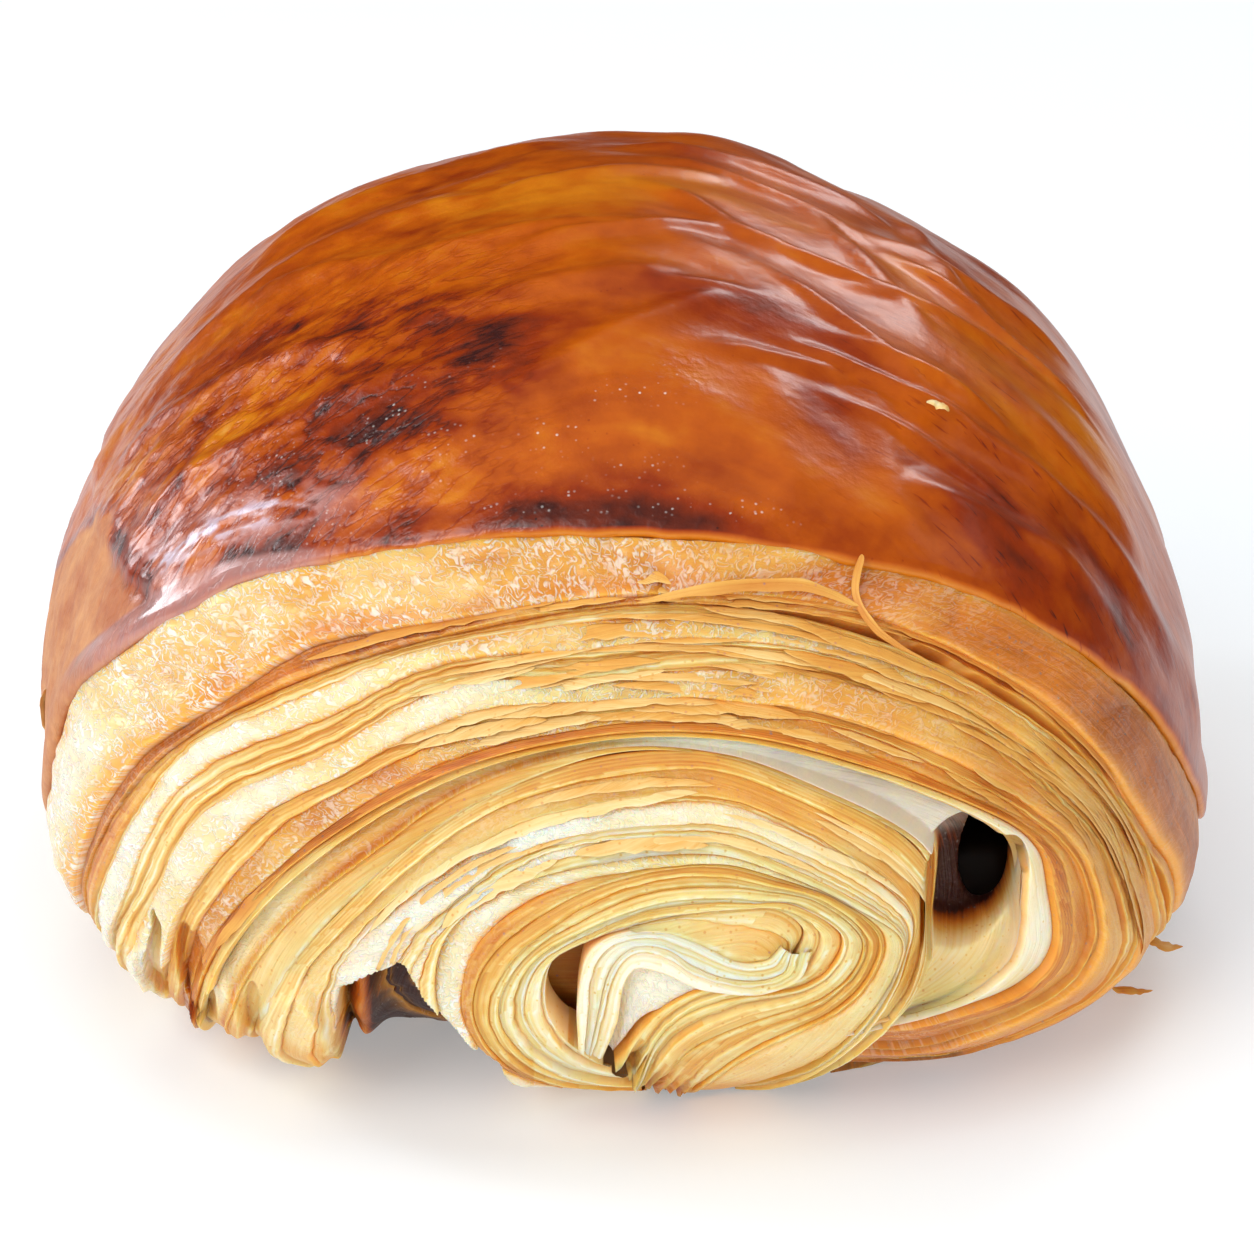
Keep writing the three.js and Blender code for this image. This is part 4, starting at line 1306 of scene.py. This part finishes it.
# Torn flakes and slivers: places along the middle in millimetres, half-widths, the way across, and tones.
FLAKES = [
    ([(16.2, -42.0, 41.4), (15.7, -44.6, 39.4), (17.3, -45.8, 37.2), (20.8, -45.4, 34.9)],
     (0.4, 0.26, 0.3, 0.1), (0.9, -0.3, 0.3), (0.62, 0.54)),
    ([(1.0, -46.9, 39.7), (6.0, -46.6, 40.6), (12.0, -45.4, 40.4), (15.9, -45.0, 38.8)],
     (0.1, 0.40, 0.45, 0.2), (0.0, 0.35, 0.9), (0.54, 0.58)),
    ([(-20.6, -49.0, 22.6), (-24.4, -47.9, 19.0), (-26.4, -47.3, 16.4), (-27.7, -46.9, 14.6)],
     (0.3, 0.45, 0.4, 0.25), (0.6, -0.2, -0.6), (0.58, 0.62)),
    ([(39.8, -20.5, 2.6), (41.2, -20.8, 2.2), (42.4, -21.0, 2.2)],
     (0.5, 0.5, 0.1), (0.2, 0.9, 0.3), (0.56, 0.50)),
    ([(36.4, -27.0, 1.6), (38.0, -26.4, 1.2), (39.6, -25.8, 0.9)],
     (0.3, 0.4, 0.1), (0.2, 0.9, 0.3), (0.58, 0.62)),
    ([(-42.0, -19.0, 23.0), (-42.7, -19.2, 21.2), (-42.7, -19.4, 19.2)],
     (0.4, 0.8, 0.3), (-0.6, -0.7, 0.2), (0.40, 0.34)),
    ([(21.4, -27.8, 47.6), (22.2, -28.1, 47.5), (23.0, -28.3, 47.1)],
     (0.2, 0.5, 0.2), (0.3, 0.9, 0.2), (0.36, 0.40)),
]
FLAKE_THICK = 0.09
FLAKE_ROWS = 60
FLAKE_LOOP = 24
FLAKE_SEED = 400


def flake_grid(places, half_widths, across, ends, seed):
    """A thin closed leaf along a smooth line: a flat loop in section, bent a little, with ragged sides."""
    middle = spline(places, FLAKE_ROWS)
    ahead = np.gradient(middle, axis=0)
    ahead /= np.linalg.norm(ahead, axis=1, keepdims=True)
    side = np.array(across) - ahead * (ahead @ np.array(across))[:, None]
    side /= np.linalg.norm(side, axis=1, keepdims=True)
    up = np.cross(side, ahead)
    s = np.linspace(0, 1, FLAKE_ROWS)
    turn = np.linspace(0, 2 * np.pi, FLAKE_LOOP)[None]
    wide = np.interp(s, np.linspace(0, 1, len(half_widths)), half_widths)
    wide = wide * np.sqrt(np.clip(1.02 - (2 * s - 1) ** 8, 0, 1))
    ragged = 1 + 0.20 * noise(s[:, None] * 9, np.sign(np.cos(turn)) * 3, 0 * turn, seed)
    v = np.cos(turn) * wide[:, None] * ragged
    bend = 0.25 * v ** 2 + 0.12 * noise(s[:, None] * 6, v, 0 * v, seed + 1)
    h = bend + FLAKE_THICK * np.sin(turn) * np.minimum(wide, 1)[:, None]
    points = middle[:, None] + side[:, None] * v[..., None] + up[:, None] * h[..., None]
    tone = np.interp(s, [0, 1], ends)[:, None] + 0.10 * noise(s[:, None] * 4, v * 2, 0 * v, seed + 2)
    return surface(points, np.stack([s[:, None] * 5 + 0 * v, v], -1), inward(points), tone=tone)


def inward(points):
    """Whether the faces of a closed loop of points, row by row, look inwards."""
    normal = np.cross(np.gradient(points, axis=1), np.gradient(points, axis=0))
    away = points - points.mean(axis=1, keepdims=True)
    return np.sum(normal * away) < 0


# Loose leaves on an end face: guide lines, number, ranges along and across, and tones from left to right.
LEAVES = [
    (SHEET_EDGE, ORANGE_EDGE, 46, (0.36, 0.80), (0.04, 0.94), (0.40, 0.50, 0.62)),
    (LIP, BAND_EDGE, 9, (0.34, 0.80), (0.60, 0.98), (0.54, 0.54, 0.66)),
    (JACKET_TURN, TURN_ONE, 12, (0.30, 0.78), (0.10, 0.90), (0.36, 0.42, 0.36)),
]
LEAF_THICK = 0.045
LEAF_ROWS = 44
LEAF_LOOP = 13
LEAF_SEEDS = {FRONT: 600, BACK: 700}


def leaf_grids(loaf, outer, inner, count, along, across, tones, side, seed):
    """Thin closed leaves along a ribbon: flat loops in section, tapered at both ends, inner edge raised and
    painted paler as a highlight.
    """
    draw = np.random.default_rng(seed)
    a, b, run = even_pair(outer, inner, 400)
    t = np.linspace(0, 1, LEAF_ROWS)
    turn = np.linspace(0, 2 * np.pi, LEAF_LOOP)[None]
    painted_rim_highlight = smoothstep(0.72, 1.0, np.cos(turn))
    grids = []
    for i in range(count):
        length = draw.uniform(7, 22)
        start = run[-1] * draw.uniform(*along) - length / 2
        level = draw.uniform(*across) + draw.uniform(-0.07, 0.07) * (t - 0.5)
        level = level + 0.02 * noise(t * length / 4, 0.0, 0.0, seed + i)
        half_width = draw.uniform(0.20, 0.55)
        lift = draw.uniform(0.05, 0.30)
        at = start + length * t
        p, q = (np.stack([np.interp(at, run, line[:, k]) for k in (0, 1)], -1) for line in (a, b))
        middle = p + (q - p) * np.clip(level, 0.02, 0.98)[:, None]
        way = (q - p) / np.linalg.norm(q - p, axis=1, keepdims=True)
        wide = half_width * (1 - np.abs(2 * t - 1) ** 3) ** 0.7
        ragged = 1 + 0.25 * noise(at[:, None] / 0.9, np.sign(np.cos(turn)) * 3, 0 * turn, seed + i)
        v = np.cos(turn) * wide[:, None] * ragged
        x = middle[:, :1] + way[:, :1] * v
        z = middle[:, 1:] + way[:, 1:] * v
        height = lift + 0.55 * v + LEAF_THICK * np.sin(turn)
        height = height + 0.08 * noise(at[:, None] / 2.5, v, 0 * v, seed + 7 + i)
        points = loaf.on_end(x, z, side, height)
        points[..., 1] -= side * face_depth(x, z)
        points = loaf.flare(points)
        tone = np.interp(at / run[-1], [0.1, 0.5, 0.9], tones)[:, None] + draw.uniform(-0.07, 0.07)
        uv = np.stack([at[:, None] + 0 * v, v + 40 * level[:, None]], -1)
        # painted highlight: the raised edge of each leaf is painted paler
        grids.append(surface(points, uv, inward(points), tone=tone - 0.10 * painted_rim_highlight))
    return grids


class LOAF_OT_flakes(bpy.types.Operator):
    """Build the torn flakes and slivers that stand off the surface"""
    bl_idname = "loaf.flakes"
    bl_label = "Flakes"

    def execute(self, context):
        loaf = Loaf(context.scene.loaf_sizes)
        dough = shared_material("Loose leaves")
        grids = [flake_grid(*flake, FLAKE_SEED + 10 * i) for i, flake in enumerate(FLAKES)]
        make_piece("flakes", grids, dough)
        for name, side in (("front_leaves", FRONT), ("back_leaves", BACK)):
            rows = [leaf_grids(loaf, *row, side, LEAF_SEEDS[side] + 20 * i) for i, row in enumerate(LEAVES)]
            make_piece(name, sum(rows, []), dough)
        return {"FINISHED"}


# The stage

WHITE = (1.0, 1.0, 1.0)
COOL = (0.93, 0.95, 1.0)
# Lights: name, place, size, power, colour, and whether shiny surfaces mirror it.
LIGHTS = [
    ("key", (-0.50, -0.62, 0.66), (0.60, 0.60), 4.5, WHITE, True),
    ("front fill", (0.42, -0.82, 0.26), (0.8, 0.4), 2.7, WHITE, False),
    ("top fill", (0.0, 0.1, 0.9), (0.8, 0.8), 4.0, WHITE, False),
    ("right light", (0.33, 0.66, 0.55), (0.26, 0.18), 1.15, WHITE, True),
    ("right side light", (0.58, 0.08, 0.56), (0.22, 0.16), 0.12, WHITE, True),
    ("left light", (-0.70, 0.32, 0.26), (0.24, 0.18), 1.4, COOL, True),
    ("left upper light", (-0.62, 0.14, 0.46), (0.12, 0.20), 0.7, COOL, True),
    ("front glint", (-0.45, -0.75, 0.45), (0.35, 0.25), 1.2, WHITE, True),
]
LIGHT_TARGET = (0, 0, 0.03)
FLOOR_HALF = 3.0
# Light of the surroundings, and how much less of it shiny surfaces mirror.
SKY_STRENGTH = 0.44
SKY_MIRRORED = -0.36
# Camera: image size, focal length and shift in pixels, sensor in millimetres, tilt, distance and aim.
IMAGE_SIZE = 1254
FOCAL = 4200
IMAGE_SHIFT = 6
SENSOR = 36.0
CAMERA_TILT = math.radians(21)
CAMERA_DISTANCE = 0.330
CAMERA_AIM = 0.020


def area_light(name, place, size, power, colour, mirrored):
    """A rectangular light that looks at the loaf."""
    light = bpy.data.lights.new(name, "AREA")
    light.shape = "RECTANGLE"
    light.size, light.size_y = size
    light.energy = power
    light.color = colour
    made = bpy.data.objects.new(name, light)
    bpy.context.collection.objects.link(made)
    made.location = place
    look = np.array(LIGHT_TARGET) - np.array(place)
    tilt = math.atan2(math.hypot(look[0], look[1]), -look[2])
    made.rotation_euler = (tilt, 0, math.atan2(-look[0], look[1]))
    made.visible_glossy = mirrored


def make_floor(colours):
    """A wide pale floor that glows a little, so that it stays white."""
    mesh = bpy.data.meshes.new("floor")
    corners = [(x * FLOOR_HALF, y * FLOOR_HALF, 0) for x, y in ((-1, -1), (1, -1), (1, 1), (-1, 1))]
    mesh.from_pydata(corners, [], [(0, 1, 2, 3)])
    floor = bpy.data.objects.new("floor", mesh)
    bpy.context.collection.objects.link(floor)
    material, _, _ = new_material(
        "Pale floor", Base_Color=(*colours.floor, 1.0), Emission_Color=(*WHITE, 1.0), Emission_Strength=0.30,
        Roughness=0.9, Specular_IOR_Level=0.1)
    mesh.materials.append(material)


def make_sky():
    """Surroundings that are white in front of the loaf and grey behind it, and darker in reflections."""
    world = bpy.data.worlds.new("Soft white")
    world.use_nodes = True
    sky = world.node_tree
    way = add_node(sky, "ShaderNodeTexCoord").outputs["Generated"]
    back = rise(sky, add_node(sky, "ShaderNodeSeparateXYZ", {0: way}).outputs["Y"], -1.0, 1.0)
    shade = ramp(sky, back, [(0.0, WHITE), (0.40, (0.45, 0.45, 0.45)), (0.60, (0.06, 0.06, 0.06))])
    mirrored = add_node(sky, "ShaderNodeLightPath").outputs["Is Glossy Ray"]
    background = sky.nodes["Background"]
    sky.links.new(shade, background.inputs[0])
    sky.links.new(weighed(sky, mirrored, SKY_MIRRORED, SKY_STRENGTH), background.inputs[1])
    return world


def make_camera():
    """The camera in front of the loaf, looking down at it."""
    camera = bpy.data.cameras.new("camera")
    camera.lens = FOCAL / IMAGE_SIZE * SENSOR
    camera.sensor_width = SENSOR
    camera.shift_x = IMAGE_SHIFT / IMAGE_SIZE
    camera.clip_start = 0.01
    eye = bpy.data.objects.new("camera", camera)
    bpy.context.collection.objects.link(eye)
    away = CAMERA_DISTANCE * math.cos(CAMERA_TILT)
    eye.location = (0, -away, CAMERA_AIM + CAMERA_DISTANCE * math.sin(CAMERA_TILT))
    eye.rotation_euler = (math.pi / 2 - CAMERA_TILT, 0, 0)
    return eye


class LOAF_OT_stage(bpy.types.Operator):
    """Build the floor, the lights and the camera"""
    bl_idname = "loaf.stage"
    bl_label = "Stage"

    def execute(self, context):
        scene = context.scene
        make_floor(scene.loaf_colours)
        scene.world = make_sky()
        for light in LIGHTS:
            area_light(*light)
        scene.camera = make_camera()
        scene.view_settings.view_transform = "Standard"
        scene.view_settings.look = "None"
        return {"FINISHED"}


class LOAF_PT_panel(bpy.types.Panel):
    """Sizes and colours of the loaf, and its pieces"""
    bl_label = "Pain au chocolat"
    bl_space_type = "VIEW_3D"
    bl_region_type = "UI"
    bl_category = "Pastry"

    def draw(self, context):
        layout = self.layout
        for group in (context.scene.loaf_sizes, context.scene.loaf_colours):
            for key in group.__annotations__:
                layout.prop(group, key)
        for step in STEPS:
            layout.operator(step.bl_idname)


STEPS = [LOAF_OT_crust, LOAF_OT_bands, LOAF_OT_mouth, LOAF_OT_coil, LOAF_OT_chocolate, LOAF_OT_underside,
         LOAF_OT_flakes, LOAF_OT_stage]
CLASSES = [LoafSizes, LoafColours, *STEPS, LOAF_PT_panel]


def register():
    """Register the classes and hang the sizes and colours on the scene."""
    for kind in CLASSES:
        bpy.utils.register_class(kind)
    bpy.types.Scene.loaf_sizes = PointerProperty(type=LoafSizes)
    bpy.types.Scene.loaf_colours = PointerProperty(type=LoafColours)


def unregister():
    """Undo what register does."""
    del bpy.types.Scene.loaf_colours
    del bpy.types.Scene.loaf_sizes
    for kind in reversed(CLASSES):
        bpy.utils.unregister_class(kind)


def main():
    """Build the loaf and its stage."""
    register()
    bpy.ops.loaf.crust()
    bpy.ops.loaf.bands()
    bpy.ops.loaf.mouth()
    bpy.ops.loaf.coil()
    bpy.ops.loaf.chocolate()
    bpy.ops.loaf.underside()
    bpy.ops.loaf.flakes()
    bpy.ops.loaf.stage()


if __name__ == "__main__":
    main()
